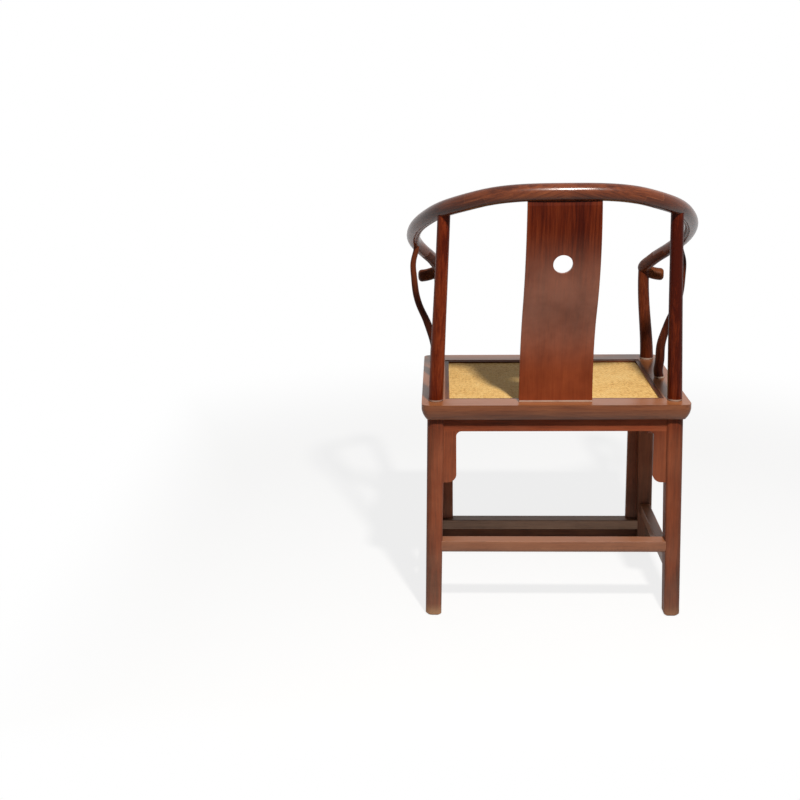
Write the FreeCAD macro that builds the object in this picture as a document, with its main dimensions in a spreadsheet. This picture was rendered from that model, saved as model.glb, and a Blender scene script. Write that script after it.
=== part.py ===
import FreeCAD, Part
import math
import os
import re
import Sketcher
from FreeCAD import Placement, Rotation, Vector

# Horseshoe back armchair. Millimetres, +Z up, origin on the floor under the middle of
# the chair's bounding box. The front faces -Y and the curved back is towards +Y.

# Driving sizes
SIZES = {
    # Seat frame, measured over the outer edges of its top
    "seat_width": 606.0,
    "seat_depth": 468.0,
    "seat_height": 521.0,
    "frame_thickness": 37.0,
    "frame_lip": 12.5,
    "frame_edge_inset": 12.0,
    "frame_bottom_corner_radius": 5.0,
    "rail_width": 66.0,
    "rabbet_width": 12.0,
    "rabbet_depth": 10.0,
    "corner_tongue_length": 10.0,
    "corner_tongue_height": 10.0,
    "corner_tongue_shoulder": 4.0,
    # Seat filling
    "webbing_thickness": 2.0,
    "webbing_cord": 14.0,
    "webbing_pitch": 34.0,
    "cane_thickness": 2.5,
    "strip_width": 9.0,
    "strip_height": 4.0,
    "batten_width": 22.0,
    "batten_depth": 13.0,
    "batten_sag": 5.0,
    "batten_spacing": 190.0,
    "batten_tenon": 12.0,
    # Legs, each in one piece with the post above it
    "leg_width": 39.0,
    "foot_width": 37.0,
    "foot_spread_side": 8.5,
    "foot_spread_end": 6.0,
    "foot_wear": 4.0,
    "post_side_inset": 32.0,
    "post_end_inset": 43.0,
    "post_base_diameter": 33.5,
    "rear_post_top_diameter": 28.0,
    "front_post_top_diameter": 27.5,
    "post_tenon_diameter": 13.0,
    # Horseshoe rail, measured on its centre line from the seat's edges and top
    "rail_side_overhang": 20.0,
    "rail_back_reach": 110.0,
    "rail_front_reach": 8.0,
    "rail_back_rise": 490.5,
    "rail_grip_rise": 212.0,
    "rail_back_diameter": 37.0,
    "rail_arm_diameter": 30.0,
    "rail_grip_diameter": 31.5,
    "rail_grip_rounding": 9.0,
    "scarf_length": 46.0,
    "scarf_pin": 6.0,
    # Side braces
    "brace_base_inset": 32.0,
    "brace_base_offset": 2.0,
    "brace_base_diameter": 24.0,
    "brace_top_diameter": 13.5,
    "brace_tenon": 18.0,
    "brace_tenon_diameter": 12.0,
    # Splat
    "splat_inset": 26.0,
    "splat_thickness": 11.0,
    "splat_bottom_width": 165.5,
    "splat_top_width": 154.5,
    "splat_mortise": 12.0,
    "splat_tongue": 9.0,
    "splat_bevel": 1.5,
    "splat_bevel_height": 9.0,
    "splat_hole_diameter": 41.8,
    "splat_hole_rise": 336.0,
    # Aprons and spandrels under the seat
    "apron_thickness": 12.0,
    "apron_recess": 5.5,
    "apron_drop": 33.0,
    "front_apron_drop": 46.0,
    "spandrel_width": 27.0,
    "spandrel_drop": 123.0,
    "spandrel_corner_radius": 12.0,
    "front_strip_width": 30.0,
    # Stretchers, each higher than the one before it, from the footrest to the back
    "footrest_height": 80.0,
    "footrest_thickness": 25.0,
    "footrest_width": 35.0,
    "footrest_apron_drop": 30.0,
    "side_stretcher_step": 48.0,
    "side_stretcher_height": 27.5,
    "side_stretcher_width": 24.0,
    "rear_stretcher_step": 57.0,
    "rear_stretcher_height": 29.5,
    "rear_stretcher_width": 32.0,
    "stretcher_tenon": 15.0,
    "stretcher_shoulder": 6.0,
    "edge_rounding": 2.0,
    # Fits and cuts
    "fit_clearance": 0.3,
    "cut_overrun": 6.0,
}

# Half of the rail's centre line, from the middle of the back to the end of a grip, as
# shares of its half width, of its reach from front to back and of its rise to the back.
# The named stations are where a post or a brace meets it, or where a section ends.
RAIL_SHARES = {
    "back": (0.000, 1.000, 1.000),
    "crest": (0.248, 0.995, 0.995),
    "crest_scarf": (0.464, 0.973, 0.966),
    "rear_corner": (0.635, 0.921, 0.908),
    "rear_post": (0.774, 0.839, 0.840),
    "side_upper": (0.882, 0.723, 0.747),
    "side_middle": (0.954, 0.599, 0.650),
    "side_widest": (0.995, 0.454, 0.535),
    "brace": (0.991, 0.339, 0.431),
    "arm_scarf": (0.932, 0.243, 0.316),
    "arm": (0.870, 0.163, 0.223),
    "arm_lower": (0.830, 0.089, 0.140),
    "front_post": (0.812, 0.036, 0.079),
    "turn": (0.840, 0.004, 0.036),
    "grip": (0.893, 0.000, 0.011),
    "grip_end": (0.953, 0.004, 0.000),
}
STATIONS = list(RAIL_SHARES)

# Members that run from the seat to the rail, as shares of their rise: how far the centre
# has moved across and fore or aft towards its top, and how much of the taper is left
REAR_POST_SHARES = (
    (0.00, 0.00, 0.00, 1.00),
    (0.25, 0.25, 0.19, 0.78),
    (0.50, 0.51, 0.43, 0.46),
    (0.75, 0.77, 0.71, 0.16),
    (1.00, 1.00, 1.00, 0.00),
)
FRONT_POST_SHARES = (
    (0.00, 0.00, 0.00, 1.00),
    (0.22, 0.20, 0.10, 0.70),
    (0.45, 0.62, 0.36, 0.40),
    (0.70, 0.98, 0.72, 0.16),
    (1.00, 1.00, 1.00, 0.00),
)
BRACE_SHARES = (
    (0.000, 0.00, 0.000, 1.00),
    (0.115, -0.01, 0.115, 0.84),
    (0.230, 0.04, 0.230, 0.77),
    (0.300, 0.15, 0.300, 0.69),
    (0.365, 0.30, 0.365, 0.60),
    (0.440, 0.49, 0.440, 0.49),
    (0.530, 0.77, 0.530, 0.36),
    (0.640, 0.98, 0.640, 0.25),
    (0.760, 1.07, 0.760, 0.13),
    (0.890, 1.06, 0.890, 0.03),
    (1.000, 1.00, 1.000, 0.00),
)

# Corner roundings of a leg, as shares of its width, and other shares of a piece's own size
LEG_OUTER_CORNER_SHARE = 0.42
LEG_SIDE_CORNER_SHARE = 0.22
LEG_INNER_CORNER_SHARE = 0.04
FRAME_BELLY_HEIGHT_SHARE = 0.45
FRAME_BELLY_INSET_SHARE = 0.36
SPANDREL_END_SHARE = 0.74
FOOTREST_SOFT_SHARE = 0.3
STRETCHER_SOFT_SHARE = 0.4
POST_SEAT_SHARE = 0.35
PIN_FOOT_SHARE = 0.125
PIN_TOP_SHARE = 0.5

SIDES = (("left", 1), ("right", -1))

document = FreeCAD.newDocument("horseshoe_armchair")
parts = {}


# The sheet and the expressions bound to it


def fill_sheet(values):
    """Write every size into the document's sheet, under its own name."""
    sheet = document.addObject("Spreadsheet::Sheet", "Sizes")
    for row, (name, value) in enumerate(values.items(), start=1):
        sheet.set(f"A{row}", name)
        sheet.set(f"B{row}", f"{value:.9f}")
        sheet.setAlias(f"B{row}", name)
    document.recompute()
    return sheet


def bound(text):
    """Return an expression in which each size's name points to its cell."""
    return re.sub(r"[a-z_]+", lambda word: "Sizes." + word.group(), str(text))


def number(text):
    """Return the value of an expression of sizes."""
    return float(sheet.evalExpression(bound(text)))


def bind(item, path, text):
    """Bind one property of a document object to an expression of sizes."""
    item.setExpression(path, bound(text))


def place(item, across, along, up):
    """Bind the position of a document object."""
    for axis, text in (("x", across), ("y", along), ("z", up)):
        bind(item, f"Placement.Base.{axis}", text)


# Primitives and booleans


def box(name, size, corner):
    """Make a box from its size and its least corner, both as expressions."""
    item = document.addObject("Part::Box", name)
    for path, text in zip(("Length", "Width", "Height"), size):
        bind(item, path, text)
    place(item, *corner)
    return item


def cylinder(name, diameter, length, across, along, up):
    """Make an upright cylinder from its diameter, length and foot."""
    item = document.addObject("Part::Cylinder", name)
    bind(item, "Radius", f"({diameter}) / 2")
    bind(item, "Height", length)
    place(item, across, along, up)
    return item


def cut(name, base, tool):
    """Take one document object away from another."""
    item = document.addObject("Part::Cut", name)
    item.Base = base
    item.Tool = tool
    return item


def common(name, base, tool):
    """Keep what two document objects share."""
    item = document.addObject("Part::Common", name)
    item.Base = base
    item.Tool = tool
    return item


def fuse(name, items):
    """Join document objects into one."""
    item = document.addObject("Part::MultiFuse", name)
    item.Shapes = items
    return item


def finish(label, item):
    """Give a finished sub-part its label, move it to the chair's origin and list it."""
    item.Label = label
    own = dict(item.ExpressionEngine).get(".Placement.Base.y", "0")
    item.setExpression("Placement.Base.y", f"{own} - Sizes.origin_back")
    parts[label] = item
    return item


# Sketches


def sketch_on(body, plane, offset=None, name="Sketch"):
    """Add a sketch to a body's origin plane, moved along the plane's normal."""
    sketch = body.newObject("Sketcher::SketchObject", name)
    support = [item for item in body.Origin.OriginFeatures if item.Role == plane][0]
    sketch.AttachmentSupport = (support, [""])
    sketch.MapMode = "FlatFace"
    if offset is not None:
        bind(sketch, "AttachmentOffset.Base.z", offset)
    return sketch


def constrain(sketch, constraint, text):
    """Add a sketch constraint whose value is an expression of sizes."""
    index = sketch.addConstraint(constraint)
    bind(sketch, f"Constraints[{index}]", text)


def fix_point(sketch, geometry, end, across, up):
    """Fix one point of a sketch from the sketch's origin."""
    for kind, text in (("DistanceX", across), ("DistanceY", up)):
        constrain(sketch, Sketcher.Constraint(kind, -1, 1, geometry, end, number(text)), text)


def circle(sketch, across, up, diameter):
    """Draw a circle from its centre and diameter."""
    centre = Vector(number(across), number(up), 0)
    radius = number(f"({diameter}) / 2")
    index = sketch.addGeometry(Part.Circle(centre, Vector(0, 0, 1), radius))
    fix_point(sketch, index, 3, across, up)
    constrain(sketch, Sketcher.Constraint("Radius", index, radius), f"({diameter}) / 2")


def arc_between(start, end, radius, turn):
    """Return the short arc between two points, anticlockwise for a turn of 1."""
    chord = end - start
    middle = (start + end) / 2
    height = math.sqrt(max(radius ** 2 - (chord.Length / 2) ** 2, 0))
    normal = Vector(-chord.y, chord.x, 0).normalize()
    centre = middle + normal * (height * turn)
    first, last = (start, end) if turn > 0 else (end, start)
    angles = [math.atan2(point.y - centre.y, point.x - centre.x) for point in (first, last)]
    return Part.ArcOfCircle(Part.Circle(centre, Vector(0, 0, 1), radius), *angles)


def outline(sketch, corners, arcs=None):
    """Draw a closed outline.

    corners lists the outline's points as pairs of expressions. arcs gives, for the
    segment that starts at a point's index, its radius as an expression and its turn.
    """
    arcs = arcs or {}
    points = [Vector(number(across), number(up), 0) for across, up in corners]
    ends = []
    for index, start in enumerate(points):
        end = points[(index + 1) % len(points)]
        if index in arcs:
            radius, turn = arcs[index]
            geometry = sketch.addGeometry(arc_between(start, end, number(radius), turn))
            ends.append((geometry, 1, 2) if turn > 0 else (geometry, 2, 1))
        else:
            geometry = sketch.addGeometry(Part.LineSegment(start, end))
            ends.append((geometry, 1, 2))
    for index, (geometry, first, last) in enumerate(ends):
        following = ends[(index + 1) % len(ends)]
        sketch.addConstraint(Sketcher.Constraint("Coincident", geometry, last, *following[:2]))
        fix_point(sketch, geometry, first, *corners[index])
    for index, (radius, turn) in arcs.items():
        constrain(sketch, Sketcher.Constraint("Radius", ends[index][0], number(radius)), radius)


def rounded_rectangle(sketch, half_width, half_depth, radius):
    """Draw a rectangle with rounded corners about the sketch's origin."""
    corners = []
    arcs = {}
    for across, up, level_first in ((1, 1, False), (-1, 1, True), (-1, -1, False), (1, -1, True)):
        far = (f"{across} * ({half_width})", f"{up} * ({half_depth} - ({radius}))")
        near = (f"{across} * ({half_width} - ({radius}))", f"{up} * ({half_depth})")
        arcs[len(corners)] = (radius, 1)
        corners += [near, far] if level_first else [far, near]
    outline(sketch, corners, arcs)


def pad(body, sketch, length, midplane=False, reverse=False):
    """Extrude a sketch by a bound length."""
    feature = body.newObject("PartDesign::Pad", "Pad")
    feature.Profile = sketch
    feature.Midplane = midplane
    feature.Reversed = reverse
    bind(feature, "Length", length)
    sketch.Visibility = False
    return feature


def pocket_through(body, sketch):
    """Cut a sketch right through a body, both ways."""
    feature = body.newObject("PartDesign::Pocket", "Pocket")
    feature.Profile = sketch
    feature.Type = "ThroughAll"
    feature.Midplane = True
    return feature


def loft(body, sketches, ruled=False):
    """Loft a body through sketches."""
    feature = body.newObject("PartDesign::AdditiveLoft", "Loft")
    feature.Profile = sketches[0]
    feature.Sections = sketches[1:]
    feature.Ruled = ruled
    return feature


def new_body(name):
    """Add an empty body to the document."""
    return document.addObject("PartDesign::Body", name)


# Places that several pieces share, worked out from the sizes


def rail_station(index):
    """Return one named point of the rail's centre line on the left side."""
    across, back, up = RAIL_SHARES[STATIONS[index]]
    half_width = SIZES["seat_width"] / 2 + SIZES["rail_side_overhang"]
    front = -SIZES["seat_depth"] / 2 - SIZES["rail_front_reach"]
    reach = SIZES["seat_depth"] + SIZES["rail_front_reach"] + SIZES["rail_back_reach"]
    low = SIZES["seat_height"] + SIZES["rail_grip_rise"]
    rise = SIZES["rail_back_rise"] - SIZES["rail_grip_rise"]
    return Vector(across * half_width, front + back * reach, low + up * rise)


def rail_radius(index):
    """Return the rail's radius at a station, which may lie between two of them."""
    back, arm, grip = (SIZES[f"rail_{name}_diameter"] / 2 for name in ("back", "arm", "grip"))
    stations = ("rear_corner", "arm_scarf", "front_post", "grip_end")
    start, end, post, last = (STATIONS.index(name) for name in stations)
    if index <= start:
        return back
    if index <= end:
        return back + (arm - back) * (index - start) / (end - start)
    return arm + (grip - arm) * max(0, index - post) / (last - post)


def joint_places():
    """Return the places where the posts, braces and splat meet the rail."""
    places = {}
    for name in ("rear_post", "front_post", "brace"):
        station = STATIONS.index(name)
        point = rail_station(station)
        places[f"{name}_top_x"] = point.x
        places[f"{name}_top_y"] = point.y
        places[f"{name}_top_z"] = point.z - rail_radius(station) * POST_SEAT_SHARE
        places[f"{name}_rail_radius"] = rail_radius(station)
    return places


def splat_places():
    """Return the splat's S-curve: two equal arcs that meet with one slope."""
    back = rail_station(0)
    bottom = SIZES["seat_depth"] / 2 - SIZES["splat_inset"] - SIZES["splat_thickness"] / 2
    top = back.y
    arc_top = back.z - rail_radius(0) - SIZES["splat_bevel_height"]
    sweep = top - bottom
    rise = arc_top - SIZES["seat_height"]
    slope = 2 * math.atan2(sweep, rise)
    half = SIZES["splat_thickness"] / 2
    return {
        "splat_bottom_y": bottom,
        "splat_top_y": top,
        "splat_arc_top": arc_top,
        "splat_arc_radius": (sweep ** 2 + rise ** 2) / (4 * sweep),
        "splat_turn_y": (bottom + top) / 2,
        "splat_turn_z": SIZES["seat_height"] + rise / 2,
        "splat_turn_run": half * math.cos(slope),
        "splat_turn_lift": half * math.sin(slope),
        "splat_end": arc_top + SIZES["splat_bevel_height"] + SIZES["splat_tongue"],
    }


def origin_places():
    """Return how far the bounding box's middle lies behind the seat's middle."""
    grip = STATIONS.index("grip")
    back = rail_station(0).y + rail_radius(0)
    front = rail_station(grip).y - rail_radius(grip)
    return {"origin_back": (back + front) / 2}


sheet = fill_sheet({**SIZES, **joint_places(), **splat_places(), **origin_places()})

FRAME_BOTTOM = "(seat_height - frame_thickness)"
POST_X = "(seat_width / 2 - post_side_inset)"
POST_Y = "(seat_depth / 2 - post_end_inset)"
BRACE_X = "(seat_width / 2 - brace_base_inset)"
OPENING_X = "(seat_width / 2 - rail_width)"
OPENING_Y = "(seat_depth / 2 - rail_width)"


# Seat frame


def seat_blank():
    """Make the whole moulded frame in one piece, before it is parted at the mitres."""
    body = new_body("SeatBlank")
    levels = (
        (FRAME_BOTTOM, "frame_edge_inset"),
        (
            f"{FRAME_BOTTOM} + {FRAME_BELLY_HEIGHT_SHARE} * (frame_thickness - frame_lip)",
            f"{FRAME_BELLY_INSET_SHARE} * frame_edge_inset",
        ),
        ("seat_height - frame_lip", 0),
    )
    sections = []
    for height, inset in levels:
        sketch = sketch_on(body, "XY_Plane", height)
        radius = f"(frame_bottom_corner_radius + frame_edge_inset - ({inset}))"
        rounded_rectangle(
            sketch, f"seat_width / 2 - ({inset})", f"seat_depth / 2 - ({inset})", radius
        )
        sections.append(sketch)
    loft(body, sections)
    lip = sketch_on(body, "XY_Plane", "seat_height - frame_lip")
    radius = "(frame_bottom_corner_radius + frame_edge_inset)"
    rounded_rectangle(lip, "seat_width / 2", "seat_depth / 2", radius)
    pad(body, lip, "frame_lip")
    return body


def frame_hollow():
    """Make the seat's opening with the rabbet that holds the cane."""
    opening = box(
        "Opening",
        (f"2 * {OPENING_X}", f"2 * {OPENING_Y}", "frame_thickness + 2 * cut_overrun"),
        (f"-{OPENING_X}", f"-{OPENING_Y}", f"{FRAME_BOTTOM} - cut_overrun"),
    )
    rabbet = box(
        "Rabbet",
        (
            f"2 * ({OPENING_X} + rabbet_width)",
            f"2 * ({OPENING_Y} + rabbet_width)",
            "rabbet_depth + cut_overrun",
        ),
        (
            f"-{OPENING_X} - rabbet_width",
            f"-{OPENING_Y} - rabbet_width",
            "seat_height - rabbet_depth",
        ),
    )
    return fuse("SeatHollow", [opening, rabbet])


def mitre_wedge(name, corners):
    """Make the prism that parts one frame member from the blank."""
    body = new_body(name)
    sketch = sketch_on(body, "XY_Plane", f"{FRAME_BOTTOM} - cut_overrun")
    outline(sketch, corners)
    pad(body, sketch, "frame_thickness + 2 * cut_overrun")
    return body


def post_holes():
    """Make the four post holes and the two brace holes through the frame."""
    holes = []
    for side_name, side in SIDES:
        for end_name, end in (("rear", 1), ("front", -1)):
            holes.append(
                cylinder(
                    f"PostHole_{end_name}_{side_name}",
                    "post_base_diameter + 2 * fit_clearance",
                    "frame_thickness + 2 * cut_overrun",
                    f"{side} * {POST_X}",
                    f"{end} * {POST_Y}",
                    f"{FRAME_BOTTOM} - cut_overrun",
                )
            )
        holes.append(
            cylinder(
                f"BraceHole_{side_name}",
                "brace_tenon_diameter + 2 * fit_clearance",
                "brace_tenon + fit_clearance + cut_overrun",
                f"{side} * {BRACE_X}",
                "-1 * brace_base_offset",
                "seat_height - brace_tenon - fit_clearance",
            )
        )
    return fuse("FrameHoles", holes)


def corner_tongues(name, allowance):
    """Make the tongues that lock the mitres, grown by an allowance for their slots."""
    tongues = []
    for side_name, side in SIDES:
        for end_name, end in (("rear", 1), ("front", -1)):
            start_x = f"({OPENING_X} + corner_tongue_shoulder - {allowance})"
            start_y = f"({OPENING_Y} + corner_tongue_shoulder - {allowance})"
            length = f"(corner_tongue_length + 2 * {allowance})"
            tongues.append(
                box(
                    f"{name}_{end_name}_{side_name}",
                    (length, length, f"corner_tongue_height + 2 * {allowance}"),
                    (
                        start_x if side > 0 else f"-{start_x} - {length}",
                        start_y if end > 0 else f"-{start_y} - {length}",
                        f"{FRAME_BOTTOM} + corner_tongue_shoulder - {allowance}",
                    ),
                )
            )
    return tongues


def batten_blank(name, side, allowance):
    """Make the end tenons of a batten as one bar, grown by an allowance for its slots."""
    width = f"(batten_width + 2 * {allowance})"
    length = f"(2 * {OPENING_Y} + 2 * batten_tenon + 2 * {allowance})"
    return box(
        name,
        (width, length, f"batten_depth + 2 * {allowance}"),
        (
            f"{side} * batten_spacing / 2 - {width} / 2",
            f"-{length} / 2",
            f"{FRAME_BOTTOM} + corner_tongue_shoulder - {allowance}",
        ),
    )


def seat_frame():
    """Part the moulded blank into four mitred rails."""
    hollow = frame_hollow()
    ring = cut("SeatRing", seat_blank(), hollow)
    holes = post_holes()
    tongues = corner_tongues("Tongue", 0)
    slots = corner_tongues("TongueSlot", "fit_clearance")
    batten_slots = [
        batten_blank(f"BattenSlot_{name}", side, "fit_clearance") for name, side in SIDES
    ]
    splat_slot = box(
        "SplatSlot",
        (
            "splat_bottom_width + 2 * fit_clearance",
            "splat_thickness + 2 * fit_clearance",
            "splat_mortise + fit_clearance + cut_overrun",
        ),
        (
            "-splat_bottom_width / 2 - fit_clearance",
            "splat_bottom_y - splat_thickness / 2 - fit_clearance",
            "seat_height - splat_mortise - fit_clearance",
        ),
    )
    outer_x, outer_y = "(seat_width / 2 + cut_overrun)", "(seat_depth / 2 + cut_overrun)"
    reach = "(rail_width + cut_overrun)"
    for end_name, end in (("rear", 1), ("front", -1)):
        wedge = mitre_wedge(
            f"Wedge_{end_name}",
            (
                (f"-{outer_x}", f"{end} * {outer_y}"),
                (outer_x, f"{end} * {outer_y}"),
                (f"{outer_x} - {reach}", f"{end} * ({outer_y} - {reach})"),
                (f"-{outer_x} + {reach}", f"{end} * ({outer_y} - {reach})"),
            ),
        )
        rail = common(f"RailBlank_{end_name}", ring, wedge)
        own_slots = slots + batten_slots + [holes] + ([splat_slot] if end > 0 else [])
        tools = fuse(f"RailTools_{end_name}", own_slots)
        finish(f"seat_rail_{end_name}", cut(f"Rail_{end_name}", rail, tools))
    for side_name, side in SIDES:
        wedge = mitre_wedge(
            f"Wedge_{side_name}",
            (
                (f"{side} * {outer_x}", f"-{outer_y}"),
                (f"{side} * {outer_x}", outer_y),
                (f"{side} * ({outer_x} - {reach})", f"{outer_y} - {reach}"),
                (f"{side} * ({outer_x} - {reach})", f"-{outer_y} + {reach}"),
            ),
        )
        rail = common(f"RailBlank_{side_name}", ring, wedge)
        own = [item for item in tongues if item.Name.endswith(side_name)]
        joined = fuse(f"RailWithTongues_{side_name}", [rail] + own)
        finish(f"seat_rail_{side_name}", cut(f"Rail_{side_name}", joined, holes))


# Seat filling


def webbing():
    """Make the net under the cane as one holed sheet that lies on the rabbet."""
    item = document.addObject("Part::Feature", "Webbing")
    clearance = SIZES["fit_clearance"]
    half_x = number(f"{OPENING_X} + rabbet_width") - clearance
    half_y = number(f"{OPENING_Y} + rabbet_width") - clearance
    pitch = SIZES["webbing_pitch"]
    gap = pitch - SIZES["webbing_cord"]
    level = number("seat_height - rabbet_depth")
    columns = int(number(f"2 * {OPENING_X}") // pitch)
    rows = int(number(f"2 * {OPENING_Y}") // pitch)
    wires = [Part.makePolygon(rectangle_points(0, 0, half_x, half_y, level))]
    for column in range(columns):
        for row in range(rows):
            across = (column - (columns - 1) / 2) * pitch
            along = (row - (rows - 1) / 2) * pitch
            wires.append(
                Part.makePolygon(rectangle_points(across, along, gap / 2, gap / 2, level))
            )
    face = Part.Face(wires[0])
    holes = [Part.Face(wire) for wire in wires[1:]]
    item.Shape = face.cut(Part.Compound(holes)).extrude(
        Vector(0, 0, SIZES["webbing_thickness"])
    )
    finish("seat_webbing", item)


def rectangle_points(across, along, half_x, half_y, level):
    """Return the closed loop of a rectangle's corners."""
    signs = ((-1, -1), (1, -1), (1, 1), (-1, 1), (-1, -1))
    return [Vector(across + sx * half_x, along + sy * half_y, level) for sx, sy in signs]


def cane_and_strips():
    """Make the cane mat on the webbing, and the strips that hold its edges down."""
    half_x = f"({OPENING_X} + rabbet_width - fit_clearance)"
    half_y = f"({OPENING_Y} + rabbet_width - fit_clearance)"
    mat_level = "(seat_height - rabbet_depth + webbing_thickness)"
    mat = box(
        "CaneMat",
        (f"2 * {half_x}", f"2 * {half_y}", "cane_thickness"),
        (f"-{half_x}", f"-{half_y}", mat_level),
    )
    finish("cane_mat", mat)
    strip_level = f"({mat_level} + cane_thickness)"
    for end_name, end in (("rear", 1), ("front", -1)):
        strip = box(
            f"Strip_{end_name}",
            (f"2 * {half_x}", "strip_width", "strip_height"),
            (
                f"-{half_x}",
                f"{half_y} - strip_width" if end > 0 else f"-{half_y}",
                strip_level,
            ),
        )
        finish(f"holding_strip_{end_name}", strip)
    for side_name, side in SIDES:
        strip = box(
            f"Strip_{side_name}",
            ("strip_width", f"2 * ({half_y} - strip_width)", "strip_height"),
            (
                f"{half_x} - strip_width" if side > 0 else f"-{half_x}",
                f"-{half_y} + strip_width",
                strip_level,
            ),
        )
        finish(f"holding_strip_{side_name}", strip)


def battens():
    """Make the two bowed battens, tenoned into the front and rear rails."""
    base = f"({FRAME_BOTTOM} + corner_tongue_shoulder)"
    half = OPENING_Y
    end = f"({half} + batten_tenon)"
    top = f"({base} + batten_depth)"
    bow = f"(({half} ^ 2 + batten_sag ^ 2) / (2 * batten_sag))"
    for side_name, side in SIDES:
        body = new_body(f"Batten_{side_name}")
        sketch = sketch_on(body, "YZ_Plane", f"{side} * batten_spacing / 2")
        corners = (
            (f"-{end}", base),
            (f"-{half}", base),
            (0, f"{base} - batten_sag"),
            (half, base),
            (end, base),
            (end, top),
            (half, top),
            (0, f"{top} - batten_sag"),
            (f"-{half}", top),
            (f"-{end}", top),
        )
        arcs = {1: (bow, 1), 2: (bow, 1), 6: (bow, -1), 7: (bow, -1)}
        outline(sketch, corners, arcs)
        pad(body, sketch, "batten_width", midplane=True)
        finish(f"seat_batten_{side_name}", body)


# Legs and posts


def leg_section(body, side, end, centre_x, centre_y, width, height):
    """Draw a leg's section: rounded outside, square inside."""
    sketch = sketch_on(body, "XY_Plane", height)
    shares = {
        (1, 1): LEG_OUTER_CORNER_SHARE,
        (-1, 1): LEG_SIDE_CORNER_SHARE,
        (-1, -1): LEG_INNER_CORNER_SHARE,
        (1, -1): LEG_SIDE_CORNER_SHARE,
    }
    corners = []
    arcs = {}
    turn = side * end
    level_first = False
    for (across, up), share in shares.items():
        tangents = [
            (
                f"{side} * ({centre_x} + {across} * {width} / 2)",
                f"{end} * ({centre_y} + {up} * {width} * ({0.5 - share}))",
            ),
            (
                f"{side} * ({centre_x} + {across} * {width} * ({0.5 - share}))",
                f"{end} * ({centre_y} + {up} * {width} / 2)",
            ),
        ]
        if level_first:
            tangents.reverse()
        arcs[len(corners)] = (f"{width} * {share}", turn)
        corners += tangents
        level_first = not level_first
    outline(sketch, corners, arcs)
    return sketch


def member_expressions(side, foot, top, base_diameter, top_diameter, shares):
    """Return centre, level and diameter expressions of a tapering member's sections."""
    foot_x, foot_y = foot
    rise = f"({top}_top_z - seat_height)"
    rows = []
    for up, across, along, taper in shares:
        centre_x = f"{side} * ({foot_x} + ({across}) * ({top}_top_x - {foot_x}))"
        centre_y = f"{foot_y} + ({along}) * ({top}_top_y - ({foot_y}))"
        diameter = f"{top_diameter} + ({taper}) * ({base_diameter} - {top_diameter})"
        rows.append((centre_x, centre_y, f"seat_height + ({up}) * {rise}", diameter))
    return rows


def member_tool(rows):
    """Return a member's round shape and the tenon on it, grown for their housing."""
    clearance = SIZES["fit_clearance"]
    wires = []
    for centre_x, centre_y, height, diameter in rows:
        centre = Vector(number(centre_x), number(centre_y), number(height))
        if (centre_x, centre_y, height, diameter) == rows[-1]:
            centre.z += clearance
        ring = Part.Circle(centre, Vector(0, 0, 1), number(diameter) / 2 + clearance)
        wires.append(Part.Wire(ring.toShape()))
    return Part.makeLoft(wires, True)


MEMBERS = {}


def member_rows(name, side, end=None):
    """Return the sections of a post or a brace on one side."""
    if name == "brace":
        foot = (BRACE_X, "-1 * brace_base_offset")
        return member_expressions(
            side, foot, "brace", "brace_base_diameter", "brace_top_diameter", BRACE_SHARES
        )
    foot = (POST_X, f"{end} * {POST_Y}")
    shares = REAR_POST_SHARES if name == "rear_post" else FRONT_POST_SHARES
    return member_expressions(
        side, foot, name, "post_base_diameter", f"{name}_top_diameter", shares
    )


def member_loft(body, rows):
    """Loft a body through a member's round sections."""
    sketches = []
    for centre_x, centre_y, height, diameter in rows:
        sketch = sketch_on(body, "XY_Plane", height)
        circle(sketch, centre_x, centre_y, diameter)
        sketches.append(sketch)
    return loft(body, sketches)


def leg_post(end_name, end, side_name, side):
    """Make one leg with the post above it, from the floor to inside the rail."""
    name = f"{end_name}_post"
    body = new_body(f"LegPost_{end_name}_{side_name}")
    foot_x = f"({POST_X} + foot_spread_side)"
    foot_y = f"({POST_Y} + foot_spread_end)"
    worn = "(foot_width - 2 * foot_wear)"
    sole = leg_section(body, side, end, foot_x, foot_y, worn, None)
    lower = leg_section(body, side, end, foot_x, foot_y, "foot_width", "foot_wear")
    upper = leg_section(body, side, end, POST_X, POST_Y, "leg_width", FRAME_BOTTOM)
    loft(body, [sole, lower, upper], ruled=True)
    neck = sketch_on(body, "XY_Plane", FRAME_BOTTOM)
    circle(neck, f"{side} * {POST_X}", f"{end} * {POST_Y}", "post_base_diameter")
    pad(body, neck, "frame_thickness")
    rows = member_rows(name, side, end)
    member_loft(body, rows)
    tenon = sketch_on(body, "XY_Plane", f"{name}_top_z")
    circle(tenon, rows[-1][0], rows[-1][1], "post_tenon_diameter")
    pad(body, tenon, f"{name}_rail_radius * {2 * POST_SEAT_SHARE}")
    MEMBERS[(name, side)] = rows
    return body


def side_braces():
    """Make the two S-curved braces between the side rails and the arms."""
    for side_name, side in SIDES:
        body = new_body(f"Brace_{side_name}")
        rows = member_rows("brace", side)
        tenon = sketch_on(body, "XY_Plane", "seat_height - brace_tenon")
        circle(tenon, rows[0][0], rows[0][1], "brace_tenon_diameter")
        pad(body, tenon, "brace_tenon")
        member_loft(body, rows)
        MEMBERS[("brace", side)] = rows
        finish(f"side_brace_{side_name}", body)


# Stretchers, aprons and what they leave in the legs


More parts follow.
